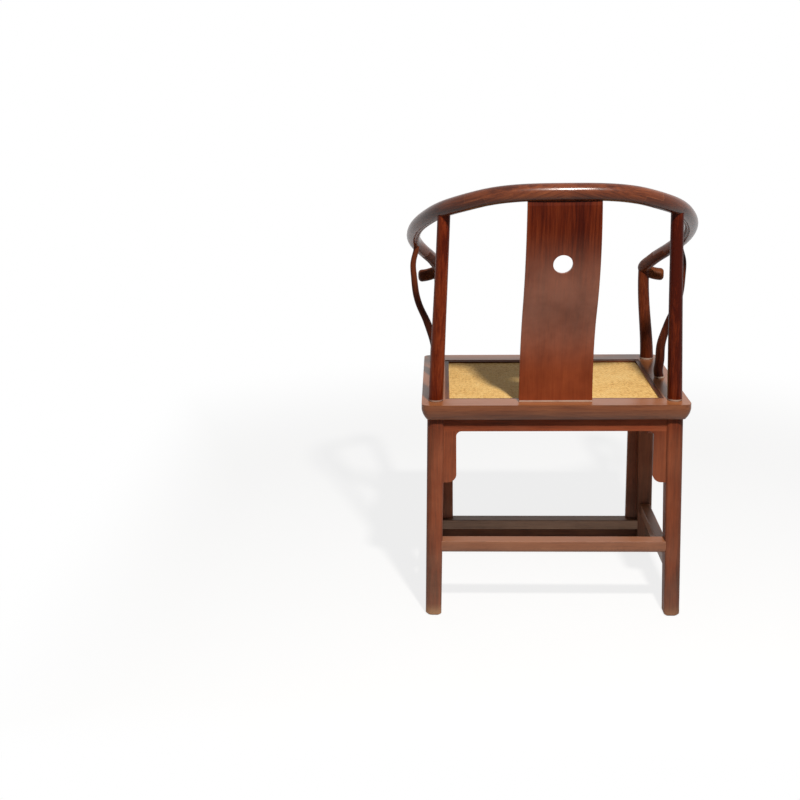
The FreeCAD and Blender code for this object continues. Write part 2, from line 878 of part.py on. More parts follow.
def rounded_bar(name, plane, corners_of, length, offset=None):
    """Make a straight bar with rounded long edges by extruding its section."""
    body = new_body(name)
    sketch = sketch_on(body, plane, offset)
    low_x, high_x, low_z, high_z, roundings = corners_of
    order = ((high_x, high_z, 1, 1), (low_x, high_z, -1, 1), (low_x, low_z, -1, -1),
             (high_x, low_z, 1, -1))
    corners = []
    arcs = {}
    for index, (across, up, sign_x, sign_z) in enumerate(order):
        radius = roundings[index]
        upright = (across, f"{up} - ({sign_z}) * {radius}")
        level = (f"{across} - ({sign_x}) * {radius}", up)
        arcs[len(corners)] = (radius, 1)
        corners += [upright, level] if index % 2 == 0 else [level, upright]
    outline(sketch, corners, arcs)
    pad(body, sketch, length, midplane=True)
    return body


LEGS = {}
LEG_TOOLS = {}


def add_mortise(end_name, side_name, item):
    """Remember a mortise to be cut in one leg."""
    LEG_TOOLS.setdefault((end_name, side_name), []).append(item)


def cross_stretcher(label, end_name, end, top, height, width, soft_share):
    """Make a stretcher from the left leg to the right one, with its tenons."""
    spread = f"foot_spread_end * (1 - ({top}) / {FRAME_BOTTOM})"
    centre_y = f"({end} * ({POST_Y} + {spread}))"
    reach = f"(2 * ({POST_X} + foot_spread_side))"
    soft = f"({height} * {soft_share})"
    small = "edge_rounding"
    roundings = (small, small, small, soft) if end > 0 else (small, small, soft, small)
    bar = rounded_bar(
        f"{label}_bar",
        "YZ_Plane",
        (
            f"{centre_y} - {width} / 2",
            f"{centre_y} + {width} / 2",
            f"{top} - {height}",
            top,
            roundings,
        ),
        reach,
    )
    pieces = bar
    for side_name, side in SIDES:
        pieces = cut(f"{label}_shoulder_{side_name}", pieces, LEGS[(end_name, side_name)])
    for kind, allowance in (("tenon", 0), ("mortise", "fit_clearance")):
        length = f"({reach} - leg_width + 2 * stretcher_tenon + 2 * {allowance})"
        tenon = box(
            f"{label}_{kind}",
            (
                length,
                f"{width} - 2 * stretcher_shoulder + 2 * {allowance}",
                f"{height} - 2 * stretcher_shoulder + 2 * {allowance}",
            ),
            (
                f"-{length} / 2",
                f"{centre_y} - {width} / 2 + stretcher_shoulder - {allowance}",
                f"{top} - {height} + stretcher_shoulder - {allowance}",
            ),
        )
        if kind == "tenon":
            finish(label, fuse(f"{label}_joined", [pieces, tenon]))
        else:
            for side_name, side in SIDES:
                add_mortise(end_name, side_name, tenon)


def side_stretchers():
    """Make the two side stretchers from the rear legs to the front ones."""
    top = "(footrest_height + side_stretcher_step)"
    height, width = "side_stretcher_height", "side_stretcher_width"
    centre = f"({POST_X} + foot_spread_side * (1 - {top} / {FRAME_BOTTOM}))"
    reach = f"(2 * ({POST_Y} + foot_spread_end))"
    soft = f"({height} * {STRETCHER_SOFT_SHARE})"
    small = "edge_rounding"
    for side_name, side in SIDES:
        label = f"side_stretcher_{side_name}"
        roundings = (small, small, small, soft) if side > 0 else (small, small, soft, small)
        bar = rounded_bar(
            f"{label}_bar",
            "XZ_Plane",
            (
                f"{side} * {centre} - {width} / 2",
                f"{side} * {centre} + {width} / 2",
                f"{top} - {height}",
                top,
                roundings,
            ),
            reach,
        )
        pieces = bar
        for end_name in ("rear", "front"):
            pieces = cut(f"{label}_shoulder_{end_name}", pieces, LEGS[(end_name, side_name)])
        for kind, allowance in (("tenon", 0), ("mortise", "fit_clearance")):
            length = f"({reach} - leg_width + 2 * stretcher_tenon + 2 * {allowance})"
            tenon = box(
                f"{label}_{kind}",
                (
                    f"{width} - 2 * stretcher_shoulder + 2 * {allowance}",
                    length,
                    f"{height} - 2 * stretcher_shoulder + 2 * {allowance}",
                ),
                (
                    f"{side} * {centre} - {width} / 2 + stretcher_shoulder - {allowance}",
                    f"-{length} / 2",
                    f"{top} - {height} + stretcher_shoulder - {allowance}",
                ),
            )
            if kind == "tenon":
                finish(label, fuse(f"{label}_joined", [pieces, tenon]))
            else:
                add_mortise("rear", side_name, tenon)
                add_mortise("front", side_name, tenon)


def fit_between(label, item, leg_keys):
    """Trim a board's ends to the faces of the legs that it stands against."""
    for key in leg_keys:
        item = cut(f"{label}_against_{key[0]}_{key[1]}", item, LEGS[key])
    return finish(label, item)


def board_range(end, centre):
    """Return the two faces of an upright board that is set back from the legs' outside."""
    outer = f"({centre} + leg_width / 2 - apron_recess)"
    inner = f"({outer} - apron_thickness)"
    return (inner, outer) if end > 0 else (f"-{outer}", f"-{inner}")


def aprons():
    """Make the level aprons under the seat frame and under the footrest."""
    for end_name, end, drop in (("rear", 1, "apron_drop"), ("front", -1, "front_apron_drop")):
        low = board_range(end, POST_Y)[0]
        label = f"{end_name}_apron"
        board = box(
            label + "_board",
            (f"2 * {POST_X}", "apron_thickness", drop),
            (f"-{POST_X}", low, f"{FRAME_BOTTOM} - {drop}"),
        )
        fit_between(label, board, [(end_name, name) for name, side in SIDES])
    for side_name, side in SIDES:
        low = board_range(side, POST_X)[0]
        label = f"side_apron_{side_name}"
        board = box(
            label + "_board",
            ("apron_thickness", f"2 * {POST_Y}", "apron_drop"),
            (low, f"-{POST_Y}", f"{FRAME_BOTTOM} - apron_drop"),
        )
        fit_between(label, board, [("rear", side_name), ("front", side_name)])
    low = board_range(-1, POST_Y)[0]
    top = "(footrest_height - footrest_thickness)"
    board = box(
        "FootrestApron",
        (f"2 * {POST_X}", "apron_thickness", "footrest_apron_drop"),
        (f"-{POST_X}", low, f"{top} - footrest_apron_drop"),
    )
    fit_between("footrest_apron", board, [("front", name) for name, side in SIDES])


def spandrel(label, plane, offset, across, centre, key):
    """Make one spandrel that hangs from an apron against a leg.

    across is 1 or -1, the way from the middle of the chair to the leg.
    """
    body = new_body(label + "_body")
    sketch = sketch_on(body, plane, offset)
    top = f"({FRAME_BOTTOM} - apron_drop)"
    bottom = f"({top} - spandrel_drop)"
    inner = f"({centre} - leg_width / 2 - spandrel_width)"
    end_radius = f"(spandrel_width * {SPANDREL_END_SHARE})"
    corner = "spandrel_corner_radius"
    corners = (
        (f"{across} * {centre}", top),
        (f"{across} * ({inner} - {corner})", top),
        (f"{across} * {inner}", f"{top} - {corner}"),
        (f"{across} * {inner}", f"{bottom} + {end_radius}"),
        (f"{across} * ({inner} + {end_radius})", bottom),
        (f"{across} * {centre}", bottom),
    )
    outline(sketch, corners, {1: (corner, -across), 3: (end_radius, across)})
    pad(body, sketch, "apron_thickness")
    fit_between(label, body, [key])


def spandrels():
    """Make the six spandrels at the back and the sides."""
    back = board_range(1, POST_Y)[1]
    for side_name, side in SIDES:
        key = ("rear", side_name)
        spandrel(f"rear_spandrel_{side_name}", "XZ_Plane", f"-{back}", side, POST_X, key)
        low = board_range(side, POST_X)[0]
        for end_name, end in (("rear", 1), ("front", -1)):
            key = (end_name, side_name)
            label = f"side_spandrel_{side_name}_{end_name}"
            spandrel(label, "YZ_Plane", low, end, POST_Y, key)


def front_strips():
    """Make the two upright strips between the front apron and the footrest."""
    low = board_range(-1, POST_Y)[0]
    inner = f"({POST_X} - leg_width / 2 - front_strip_width + foot_spread_side)"
    bottom = "footrest_height"
    top = f"({FRAME_BOTTOM} - front_apron_drop)"
    for side_name, side in SIDES:
        label = f"front_strip_{side_name}"
        width = f"({POST_X} - {inner})"
        board = box(
            label + "_board",
            (width, "apron_thickness", f"{top} - {bottom}"),
            (inner if side > 0 else f"-{POST_X}", low, bottom),
        )
        fit_between(label, board, [("front", side_name)])


def legs():
    """Cut the stretchers' mortises in the legs and list them."""
    for end_name, end in (("rear", 1), ("front", -1)):
        for side_name, side in SIDES:
            key = (end_name, side_name)
            tools = fuse(f"Mortises_{end_name}_{side_name}", LEG_TOOLS[key])
            leg = cut(f"Leg_{end_name}_{side_name}", LEGS[key], tools)
            finish(f"{end_name}_leg_post_{side_name}", leg)


# Splat


def splat():
    """Make the S-curved splat with its hole, its mortised foot and its tongue."""
    body = new_body("Splat")
    side_view = sketch_on(body, "YZ_Plane")
    half = "splat_thickness / 2"
    low = "(seat_height - splat_mortise)"
    corners = (
        (f"splat_bottom_y - {half}", low),
        (f"splat_bottom_y - {half}", "seat_height"),
        ("splat_turn_y - splat_turn_run", "splat_turn_z + splat_turn_lift"),
        (f"splat_top_y - {half}", "splat_arc_top"),
        (f"splat_top_y - {half}", "splat_end"),
        (f"splat_top_y + {half} - splat_bevel", "splat_end"),
        (f"splat_top_y + {half} - splat_bevel", "splat_arc_top + splat_bevel_height"),
        (f"splat_top_y + {half}", "splat_arc_top"),
        ("splat_turn_y + splat_turn_run", "splat_turn_z - splat_turn_lift"),
        (f"splat_bottom_y + {half}", "seat_height"),
        (f"splat_bottom_y + {half}", low),
    )
    arcs = {
        1: (f"splat_arc_radius + {half}", -1),
        2: (f"splat_arc_radius - {half}", 1),
        7: (f"splat_arc_radius + {half}", -1),
        8: (f"splat_arc_radius - {half}", 1),
    }
    outline(side_view, corners, arcs)
    pad(body, side_view, "splat_bottom_width", midplane=True)
    taper = sketch_on(body, "XZ_Plane")
    wide = "(splat_bottom_width / 2 + cut_overrun)"
    for sign in (1, -1):
        outline(
            taper,
            (
                (f"{sign} * splat_bottom_width / 2", "seat_height"),
                (f"{sign} * splat_top_width / 2", "splat_arc_top"),
                (f"{sign} * splat_top_width / 2", "splat_end + cut_overrun"),
                (f"{sign} * {wide}", "splat_end + cut_overrun"),
                (f"{sign} * {wide}", "seat_height"),
            ),
        )
    pocket_through(body, taper)
    hole = sketch_on(body, "XZ_Plane")
    circle(hole, 0, "seat_height + splat_hole_rise", "splat_hole_diameter")
    pocket_through(body, hole)
    finish("back_splat", body)


# Horseshoe rail


def rail_path():
    """Return the rail's whole centre line as a curve, and the parameter of each station."""
    half = [rail_station(index) for index in range(len(STATIONS))]
    mirrored = [Vector(-point.x, point.y, point.z) for point in half[:0:-1]]
    curve = Part.BSplineCurve()
    curve.interpolate(mirrored + half)
    knots = curve.getKnots()
    middle = len(half) - 1
    return curve, {index: knots[middle + index] for index in range(-middle, middle + 1)}


def at_station(parameters, station):
    """Return the curve's parameter at a station, which may lie between two of them."""
    low = math.floor(station)
    share = station - low
    if not share:
        return parameters[low]
    return parameters[low] * (1 - share) + parameters[low + 1] * share


def joint_frame(curve, parameters, station):
    """Return the centre line's point, forward, level and upward directions at a station."""
    parameter = at_station(parameters, station)
    forward = Vector(*curve.tangent(parameter)[0])
    level = forward.cross(Vector(0, 0, 1)).normalize()
    return curve.value(parameter), forward, level, level.cross(forward).normalize()


def tube(curve, parameters, start, end):
    """Loft a round tube along the curve, with a ring at each station and half station.

    Each ring starts at its top, clear of the laps, the housings and the pins.
    """
    steps = round(2 * (end - start))
    wires = []
    for step in range(steps + 1):
        station = start + (end - start) * step / steps
        centre, forward, level, upward = joint_frame(curve, parameters, station)
        ring = Part.Circle(Vector(), Vector(0, 0, 1), rail_radius(abs(station)))
        wire = Part.Wire(ring.toShape())
        wire.Placement = Placement(centre, Rotation(upward, level, forward, "ZXY"))
        wires.append(wire)
    return Part.makeLoft(wires, True)


def scarf_tool(frame, way, lap, reach):
    """Return the stepped prism that trims a tube's end at a scarf.

    way is 1 for the tube that runs up to the scarf and -1 for the one that leaves it.
    lap is 1 where the first of them keeps its upper half and -1 where it keeps its lower.
    """
    centre, forward, level, upward = frame
    half = SIZES["scarf_length"] / 2
    tall = SIZES["rail_back_diameter"]
    far = half + reach
    steps = ((half, tall), (half, 0), (-half, 0), (-half, -tall), (far, -tall), (far, tall))
    corner = centre - level * tall
    points = [corner + forward * (along * way) + upward * (up * way * lap) for along, up in steps]
    face = Part.Face(Part.makePolygon(points + points[:1]))
    return face.extrude(level * (2 * tall))


def scarf_pin(frame, radius):
    """Return the square pin that locks a scarf from below."""
    centre, forward, level, upward = frame
    half = SIZES["scarf_pin"] / 2
    foot = centre - upward * (radius - SIZES["scarf_pin"] * PIN_FOOT_SHARE)
    signs = ((-1, -1), (1, -1), (1, 1), (-1, 1), (-1, -1))
    points = [foot + forward * (a * half) + level * (b * half) for a, b in signs]
    height = radius * (1 + PIN_TOP_SHARE)
    return Part.Face(Part.makePolygon(points)).extrude(upward * height)


def grip_end(shape, frame):
    """Add the rounded end beyond a grip's last ring."""
    centre, forward, level, upward = frame
    radius = SIZES["rail_grip_diameter"] / 2
    rounding = SIZES["rail_grip_rounding"]
    flat = radius - rounding
    bend = Vector(-math.sin(math.pi / 4), math.cos(math.pi / 4), 0) * rounding
    tip = centre - forward * rounding
    shoulder = centre + level * flat + forward * bend.x + level * bend.y
    arc = Part.Arc(centre + level * radius, shoulder, tip + level * flat)
    edges = [
        arc.toShape(),
        Part.makeLine(tip + level * flat, tip),
        Part.makeLine(tip, centre),
        Part.makeLine(centre, centre + level * radius),
    ]
    return shape.fuse(Part.Face(Part.Wire(edges)).revolve(centre, forward, 360))


def splat_housing():
    """Return the splat's upper end with its tongue, grown for the slot in the rail."""
    clearance = SIZES["fit_clearance"]
    width = number("splat_top_width") + 2 * clearance
    front = number("splat_top_y - splat_thickness / 2") - clearance
    back = number("splat_top_y + splat_thickness / 2") + clearance
    narrow = back - SIZES["splat_bevel"]
    low = number("splat_arc_top")
    high = low + SIZES["splat_bevel_height"]
    bottom = low - SIZES["cut_overrun"]
    top = number("splat_end") + clearance
    corners = (
        (front, bottom),
        (back, bottom),
        (back, low),
        (narrow, high),
        (narrow, top),
        (front, top),
        (front, bottom),
    )
    points = [Vector(-width / 2, along, up) for along, up in corners]
    return Part.Face(Part.makePolygon(points)).extrude(Vector(width, 0, 0))


def post_tenon_tool(name, side, rows):
    """Return the hole for a post's tenon."""
    clearance = SIZES["fit_clearance"]
    foot = Vector(number(rows[-1][0]), number(rows[-1][1]), number(f"{name}_top_z"))
    radius = SIZES["post_tenon_diameter"] / 2 + clearance
    height = number(f"{name}_rail_radius") * 2 * POST_SEAT_SHARE + clearance
    return Part.makeCylinder(radius, height, foot)


def rail_section(curve, parameters, scarfs, start, end):
    """Make one rail section between two stations, with a lap at each end that has one."""
    last = len(STATIONS) - 1
    reach = SIZES["seat_depth"] / 2
    first = start if start == -last else start - 1
    shape = tube(curve, parameters, first, end + 1)
    if start == -last:
        shape = grip_end(shape, joint_frame(curve, parameters, start))
    else:
        shape = shape.cut(scarf_tool(scarfs[start], -1, math.copysign(1, start), reach))
    return shape.cut(scarf_tool(scarfs[end], 1, math.copysign(1, end), reach))


def add_feature(label, shape):
    """Add a finished shape to the document as a sub-part."""
    item = document.addObject("Part::Feature", label.title().replace("_", ""))
    item.Shape = shape
    finish(label, item)


def horseshoe_rail():
    """Make the rail in five sections, scarfed and pinned, housed for what it rests on."""
    curve, parameters = rail_path()
    rear, arm = (STATIONS.index(name) + 0.5 for name in ("crest_scarf", "arm_scarf"))
    scarfs = {station: joint_frame(curve, parameters, station) for station in (-arm, -rear, rear)}
    housings = [member_tool(rows) for rows in MEMBERS.values()]
    housings += [
        post_tenon_tool(name, side, rows)
        for (name, side), rows in MEMBERS.items()
        if name != "brace"
    ]
    pins = {station: scarf_pin(frame, rail_radius(abs(station)))
            for station, frame in scarfs.items()}
    housings.append(splat_housing())
    pin_holes = list(pins.values())
    crest = rail_section(curve, parameters, scarfs, -rear, rear)
    add_feature("crest_rail", crest.cut(housings).cut(pin_holes))
    sections = {
        "arm_grip": (1 - len(STATIONS), -arm),
        "rail_side": (-arm, -rear),
    }
    halves = {}
    for name, span in sections.items():
        section = rail_section(curve, parameters, scarfs, *span)
        halves[name] = section.cut(housings).cut(pin_holes)
    halves["scarf_pin_arm"] = pins[-arm]
    halves["scarf_pin_back"] = pins[-rear]
    for name, shape in halves.items():
        add_feature(f"{name}_right", shape)
        add_feature(f"{name}_left", shape.mirror(Vector(), Vector(1, 0, 0)))


# The whole chair


def build():
    """Build every sub-part."""
    seat_frame()
    webbing()
    cane_and_strips()
    battens()
    for end_name, end in (("rear", 1), ("front", -1)):
        for side_name, side in SIDES:
            LEGS[(end_name, side_name)] = leg_post(end_name, end, side_name, side)
    side_braces()
    cross_stretcher(
        "footrest",
        "front",
        -1,
        "footrest_height",
        "footrest_thickness",
        "footrest_width",
        FOOTREST_SOFT_SHARE,
    )
    cross_stretcher(
        "rear_stretcher",
        "rear",
        1,
        "(footrest_height + side_stretcher_step + rear_stretcher_step)",
        "rear_stretcher_height",
        "rear_stretcher_width",
        STRETCHER_SOFT_SHARE,
    )
    side_stretchers()
    aprons()
    spandrels()
    front_strips()
    legs()
    splat()
    document.recompute()
    horseshoe_rail()
    document.recompute()


def check():
    """Stop if any object failed or any sub-part has no sound shape."""
    failed = [
        item.Name
        for item in document.Objects
        if "Invalid" in item.State or "Error" in item.State
    ]
    for label, item in parts.items():
        shape = item.Shape
        if shape.isNull() or not shape.isValid() or len(shape.Solids) != 1:
            failed.append(f"{label}: {len(shape.Solids)} solids")
    if failed:
        raise RuntimeError("failed: " + ", ".join(failed))


def export():
    """Write one STEP file for each sub-part."""
    os.makedirs("parts", exist_ok=True)
    for label, item in parts.items():
        item.Shape.exportStep(f"parts/{label}.step")


build()
check()
export()
print(len(parts), "sub-parts")
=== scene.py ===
"""Horseshoe back armchair in dark glossy hardwood with a woven cane seat."""

import logging
import math
from dataclasses import dataclass
from enum import Enum

import bpy
import numpy as np
from mathutils import Matrix, Vector


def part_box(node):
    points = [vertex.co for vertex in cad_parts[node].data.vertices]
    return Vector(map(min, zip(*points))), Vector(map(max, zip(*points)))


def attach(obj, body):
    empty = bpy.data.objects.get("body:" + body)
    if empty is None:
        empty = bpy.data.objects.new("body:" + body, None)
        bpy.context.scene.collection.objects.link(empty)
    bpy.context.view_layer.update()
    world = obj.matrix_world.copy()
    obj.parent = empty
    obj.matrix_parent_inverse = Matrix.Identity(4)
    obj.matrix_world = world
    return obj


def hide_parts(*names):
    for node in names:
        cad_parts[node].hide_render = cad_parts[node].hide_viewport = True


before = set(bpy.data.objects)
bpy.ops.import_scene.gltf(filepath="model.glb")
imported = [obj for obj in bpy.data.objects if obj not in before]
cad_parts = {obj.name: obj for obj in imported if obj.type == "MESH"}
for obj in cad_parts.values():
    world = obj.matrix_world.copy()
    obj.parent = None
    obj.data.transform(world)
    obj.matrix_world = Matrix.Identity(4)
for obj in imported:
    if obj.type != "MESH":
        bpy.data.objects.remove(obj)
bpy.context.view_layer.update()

SEAT_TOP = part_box("seat_rail_rear")[1][2]
BODY = "root"
MM = 0.001

logging.basicConfig(level=logging.INFO, format="%(message)s")
log = logging.getLogger("armchair")

Colour = tuple[float, float, float]


class Grain(Enum):
    """The way the wood's fibres run in a piece, as the axis that they follow."""

    ACROSS = (1.0, 0.0, 0.0)
    ALONG = (0.0, 1.0, 0.0)
    UPRIGHT = (0.0, 0.0, 1.0)


class Place(Enum):
    """Where a piece stands, as how far its arrises are rubbed and how strong the painted highlight
    along them is.
    """

    SHOWN = 0.35
    HANDLED = 0.6
    HIDDEN = 0.15


class Sheet:
    """A node tree, with short ways to add and join its nodes."""

    def __init__(self, name: str, world: bool = False) -> None:
        """Make an empty material or world.

        Args:
            name: Its name.
            world: True for a world.
        """
        self.owner = (bpy.data.worlds if world else bpy.data.materials).new(name)
        self.owner.use_nodes = True
        self.tree = self.owner.node_tree
        self.tree.nodes.clear()
        self.output = self.add("OutputWorld" if world else "OutputMaterial")

    def add(self, kind: str, inputs: dict | None = None, **settings: object) -> bpy.types.Node:
        """Add a node.

        Args:
            kind: The node's type without its ShaderNode prefix.
            inputs: A value or another node's output for each input's name or number.
            settings: The node's own settings.

        Returns:
            The new node.
        """
        node = self.tree.nodes.new("ShaderNode" + kind)
        for key, value in settings.items():
            setattr(node, key, value)
        for key, value in (inputs or {}).items():
            if isinstance(value, bpy.types.NodeSocket):
                self.tree.links.new(value, node.inputs[key])
            else:
                node.inputs[key].default_value = value
        return node

    def maths(self, operation: str, *values: object) -> bpy.types.NodeSocket:
        """Add a Math node and return its output."""
        node = self.add("Math", dict(enumerate(values)), operation=operation)
        return node.outputs[0]

    def spread(self, value: object, low: float, high: float, start: float = 0.0,
               end: float = 1.0) -> bpy.types.NodeSocket:
        """Map a value's range onto another.

        Args:
            value: The socket to map.
            low: The value that becomes start.
            high: The value that becomes end.
            start: The least result.
            end: The greatest result.

        Returns:
            The mapped socket.
        """
        inputs = {"Value": value, "From Min": low, "From Max": high,
                  "To Min": start, "To Max": end}
        return self.add("MapRange", inputs, interpolation_type="SMOOTHSTEP").outputs[0]

    def noise(self, vector: object, scale: float, detail: float = 3.0,
              roughness: float = 0.55) -> bpy.types.NodeSocket:
        """Add a noise texture.

        Args:
            vector: The coordinates.
            scale: Its scale in cycles per metre.
            detail: Its octaves.
            roughness: How strong the fine octaves are.

        Returns:
            The noise value.
        """
        inputs = {"Vector": vector, "Scale": scale, "Detail": detail, "Roughness": roughness}
        return self.add("TexNoise", inputs).outputs[0]

    def blend(self, factor: object, first: object, second: object,
              mode: str = "MIX") -> bpy.types.NodeSocket:
        """Mix two colours.

        Args:
            factor: How much of the second shows.
            first: The first colour or socket.
            second: The second colour or socket.
            mode: How they are mixed.

        Returns:
            The mixed colour.
        """
        node = self.add("Mix", data_type="RGBA", blend_type=mode)
        for index, value in ((0, factor), (6, first), (7, second)):
            if isinstance(value, bpy.types.NodeSocket):
                self.tree.links.new(value, node.inputs[index])
            elif index:
                node.inputs[index].default_value = (*value[:3], 1.0)
            else:
                node.inputs[index].default_value = value
        return node.outputs[2]

    def ramp(self, value: object, stops: list[tuple[float, Colour]]) -> bpy.types.NodeSocket:
        """Turn a value into a colour.

        Args:
            value: The socket to look up.
            stops: The positions and their colours, in order.

        Returns:
            The colour.
        """
        node = self.add("ValToRGB", {0: value})
        band = node.color_ramp
        while len(band.elements) < len(stops):
            band.elements.new(0.5)
        for element, (position, colour) in zip(band.elements, stops):
            element.position = position
            element.color = (*colour, 1.0)
        return node.outputs[0]

    def finish(self, shader: bpy.types.Node) -> bpy.types.ID:
        """Join a shader to the output and return the material or world."""
        self.tree.links.new(shader.outputs[0], self.output.inputs["Surface"])
        return self.owner


@dataclass(frozen=True)
class HardwoodFinish:
    """Dark polished hardwood whose fibres follow one axis, or the rail's bend.

    Colours are linear, lengths are in metres and scales are in cycles per metre. A span
    holds the two values between which an effect comes in.
    """

    place: Place = Place.SHOWN
    dark: Colour = (0.052, 0.0048, 0.0011)
    middle: Colour = (0.106, 0.0135, 0.0032)
    light: Colour = (0.175, 0.0300, 0.0080)
    tone_stops: tuple[float, float, float] = (0.38, 0.50, 0.66)
    # Wear and painted highlight: the colour that arrises are lightened towards.
    worn_and_glint: Colour = (0.300, 0.1150, 0.0500)
    bleach_and_sheen: Colour = (0.370, 0.1500, 0.0820)
    fade_and_sheen: Colour = (0.270, 0.1850, 0.1300)
    scuffed: Colour = (0.400, 0.2450, 0.1350)
    # Partly dust and partly a painted highlight: the pale line round the uprights just above the
    # seat.
    dust_and_glint: Colour = (0.480, 0.3700, 0.2900)
    pore: Colour = (0.014, 0.0030, 0.0016)
    figure_scale: float = 36.0
    streak_scale: float = 234.0
    cloud_scale: float = 4.95
    pore_scale: float = 900.0
    stretch: float = 0.035
    wander_scale: float = 3.0
    wander_reach: tuple[float, float, float] = (0.02, 0.02, 0.0)
    figure: float = 1.25
    cloud_weight: float = 0.4
    depth: float = 1.0
    pore_span: tuple[float, float] = (0.58, 0.72)
    pore_weight: float = 0.55
    polish: float = 0.36
    gloss: float = 0.07
    cloud_dullness: float = 0.12
    pore_dullness: float = 0.12
    age_dullness: float = 0.35
    hidden_dullness: float = 0.22
    relief: float = 0.3
    relief_depth: float = 0.0001
    streak_relief: float = 0.35
    edge: float = 0.0016
    edge_span: tuple[float, float] = (0.985, 0.84)
    edge_scale: float = 28.0
    edge_patches: tuple[float, float, float] = (0.35, 0.70, 0.35)
    patch_scale: float = 14.0
    patch_span: tuple[float, float] = (0.2, 0.8)
    foot_height: float = 0.032
    foot_fade: float = 0.012
    foot_wander: float = 0.02
    # Paler and greyer lower down: faded wood on the legs, and on the splat a painted sheen band and
    # painted light.
    fade_and_sheen_span: tuple[float, float] = (0.53, 0.40)
    fade_and_sheen_strength: tuple[float, float] = (0.20, 0.36)
    fade_and_sheen_grey_span: tuple[float, float] = (0.26, 0.04)
    scuff_strength: float = 0.52
    # Painted reflection: faces that look up are lightened towards this colour as a painted sheen.
    painted_sheen_colour: Colour = (0.400, 0.1350, 0.0420)
    painted_sheen_span: tuple[float, float] = (0.8, 0.98)
    painted_sheen_strength: float = 0.0
    dust_glint_line: float = 0.0038
    dust_glint_gap: float = 0.0005
    dust_glint_span: tuple[float, float] = (0.3, 0.6)
    dust_glint_strength: tuple[float, float] = (0.30, 0.75)
    seed_ways: tuple[float, float, float] = (1.7, 0.9, 2.3)
    bend_start: float = -0.03
    bend_radius: float = 0.32
    bend_fall: float = 0.353

    def material(self, name: str, fibres: Vector | None, seed: float,
                 shade: float) -> bpy.types.Material:
        """Make the material of one piece.

        Args:
            name: The material's name.
            fibres: The direction of the wood's fibres, or None where they follow the rail.
            seed: What sets the piece's figure apart from its neighbours'.
            shade: How much lighter the piece is than the others.

        Returns:
            The material.
        """
        sheet = Sheet(name)
        where = sheet.add("TexCoord").outputs["Object"]
        board = self.board(sheet, where, fibres, seed)
        long_cells = {"Vector": board, "Scale": (1.0, 1.0, self.stretch)}
        squeeze = sheet.add("Mapping", long_cells).outputs[0]
        bends = {"Vector": board, "Scale": self.wander_scale, "Detail": 2.0}
        wander = sheet.add("TexNoise", bends).outputs[1]
        flow = sheet.add("VectorMath", {0: wander, 1: self.wander_reach, 2: squeeze},
                         operation="MULTIPLY_ADD").outputs[0]
        figure = sheet.noise(flow, self.figure_scale, 5.0, 0.6)
        streaks = sheet.noise(flow, self.streak_scale, 4.0, 0.7)
        clouds = sheet.noise(board, self.cloud_scale, 2.0, 0.5)
        pores = sheet.noise(squeeze, self.pore_scale, 2.0, 0.5)
        tone = sheet.maths("MULTIPLY_ADD", streaks, 0.5, sheet.maths("MULTIPLY", figure, 0.5))
        cloudy = sheet.maths("SUBTRACT", clouds, 0.5)
        tone = sheet.maths("MULTIPLY_ADD", cloudy, self.cloud_weight, tone)
        centred = sheet.maths("SUBTRACT", tone, 0.5)
        tone = sheet.maths("MULTIPLY_ADD", centred, self.figure, 0.5 + shade)
        wood = sheet.ramp(tone, list(zip(self.tone_stops, (self.dark, self.middle, self.light))))
        pits = sheet.spread(pores, *self.pore_span)
        wood = sheet.blend(sheet.maths("MULTIPLY", pits, self.pore_weight), wood, self.pore)
        height = sheet.add("SeparateXYZ", {0: where}).outputs[2]
        # Painted reflection: a painted sheen on the faces that look up.
        if self.painted_sheen_strength:
            wood = self.paint_top_sheen(sheet, wood)
        wood, dull = self.age(sheet, wood, board, height)
        wear_and_glint = self.edge_wear_and_glint(sheet, board)
        # Wear and painted highlight: arrises are lightened towards a pale colour.
        wood = sheet.blend(sheet.maths("MULTIPLY", wear_and_glint, self.place.value), wood, self.worn_and_glint)
        rough = self.polish - self.cloud_dullness / 2
        for mask, weight in ((clouds, self.cloud_dullness), (pits, self.pore_dullness),
                             (dull, self.age_dullness)):
            rough = sheet.maths("MULTIPLY_ADD", mask, weight, rough)
        if self.place is Place.HIDDEN:
            rough = sheet.maths("ADD", rough, self.hidden_dullness)
        sunk = sheet.maths("MULTIPLY", pits, -1.0)
        relief = sheet.maths("MULTIPLY_ADD", streaks, self.streak_relief, sunk)
        bump = sheet.add("Bump", {"Height": relief, "Strength": self.relief,
                                  "Distance": self.relief_depth})
        shader = sheet.add("BsdfPrincipled", {
            "Base Color": wood,
            "Roughness": rough,
            "Normal": bump.outputs[0],
            "Specular IOR Level": self.gloss,
        })
        return sheet.finish(shader)

    def paint_top_sheen(self, sheet: Sheet, wood: bpy.types.NodeSocket) -> bpy.types.NodeSocket:
        """Paint a sheen on the faces that look up: a painted reflection of the pale room.

        Args:
            sheet: The material being made.
            wood: The wood's colour.

        Returns:
            The colour, with the painted sheen on top.
        """
        facing = sheet.add("NewGeometry").outputs["Normal"]
        upward = sheet.add("SeparateXYZ", {0: facing}).outputs[2]
        share = sheet.maths("MULTIPLY", sheet.spread(upward, *self.painted_sheen_span), self.painted_sheen_strength)
        return sheet.blend(share, wood, self.painted_sheen_colour)

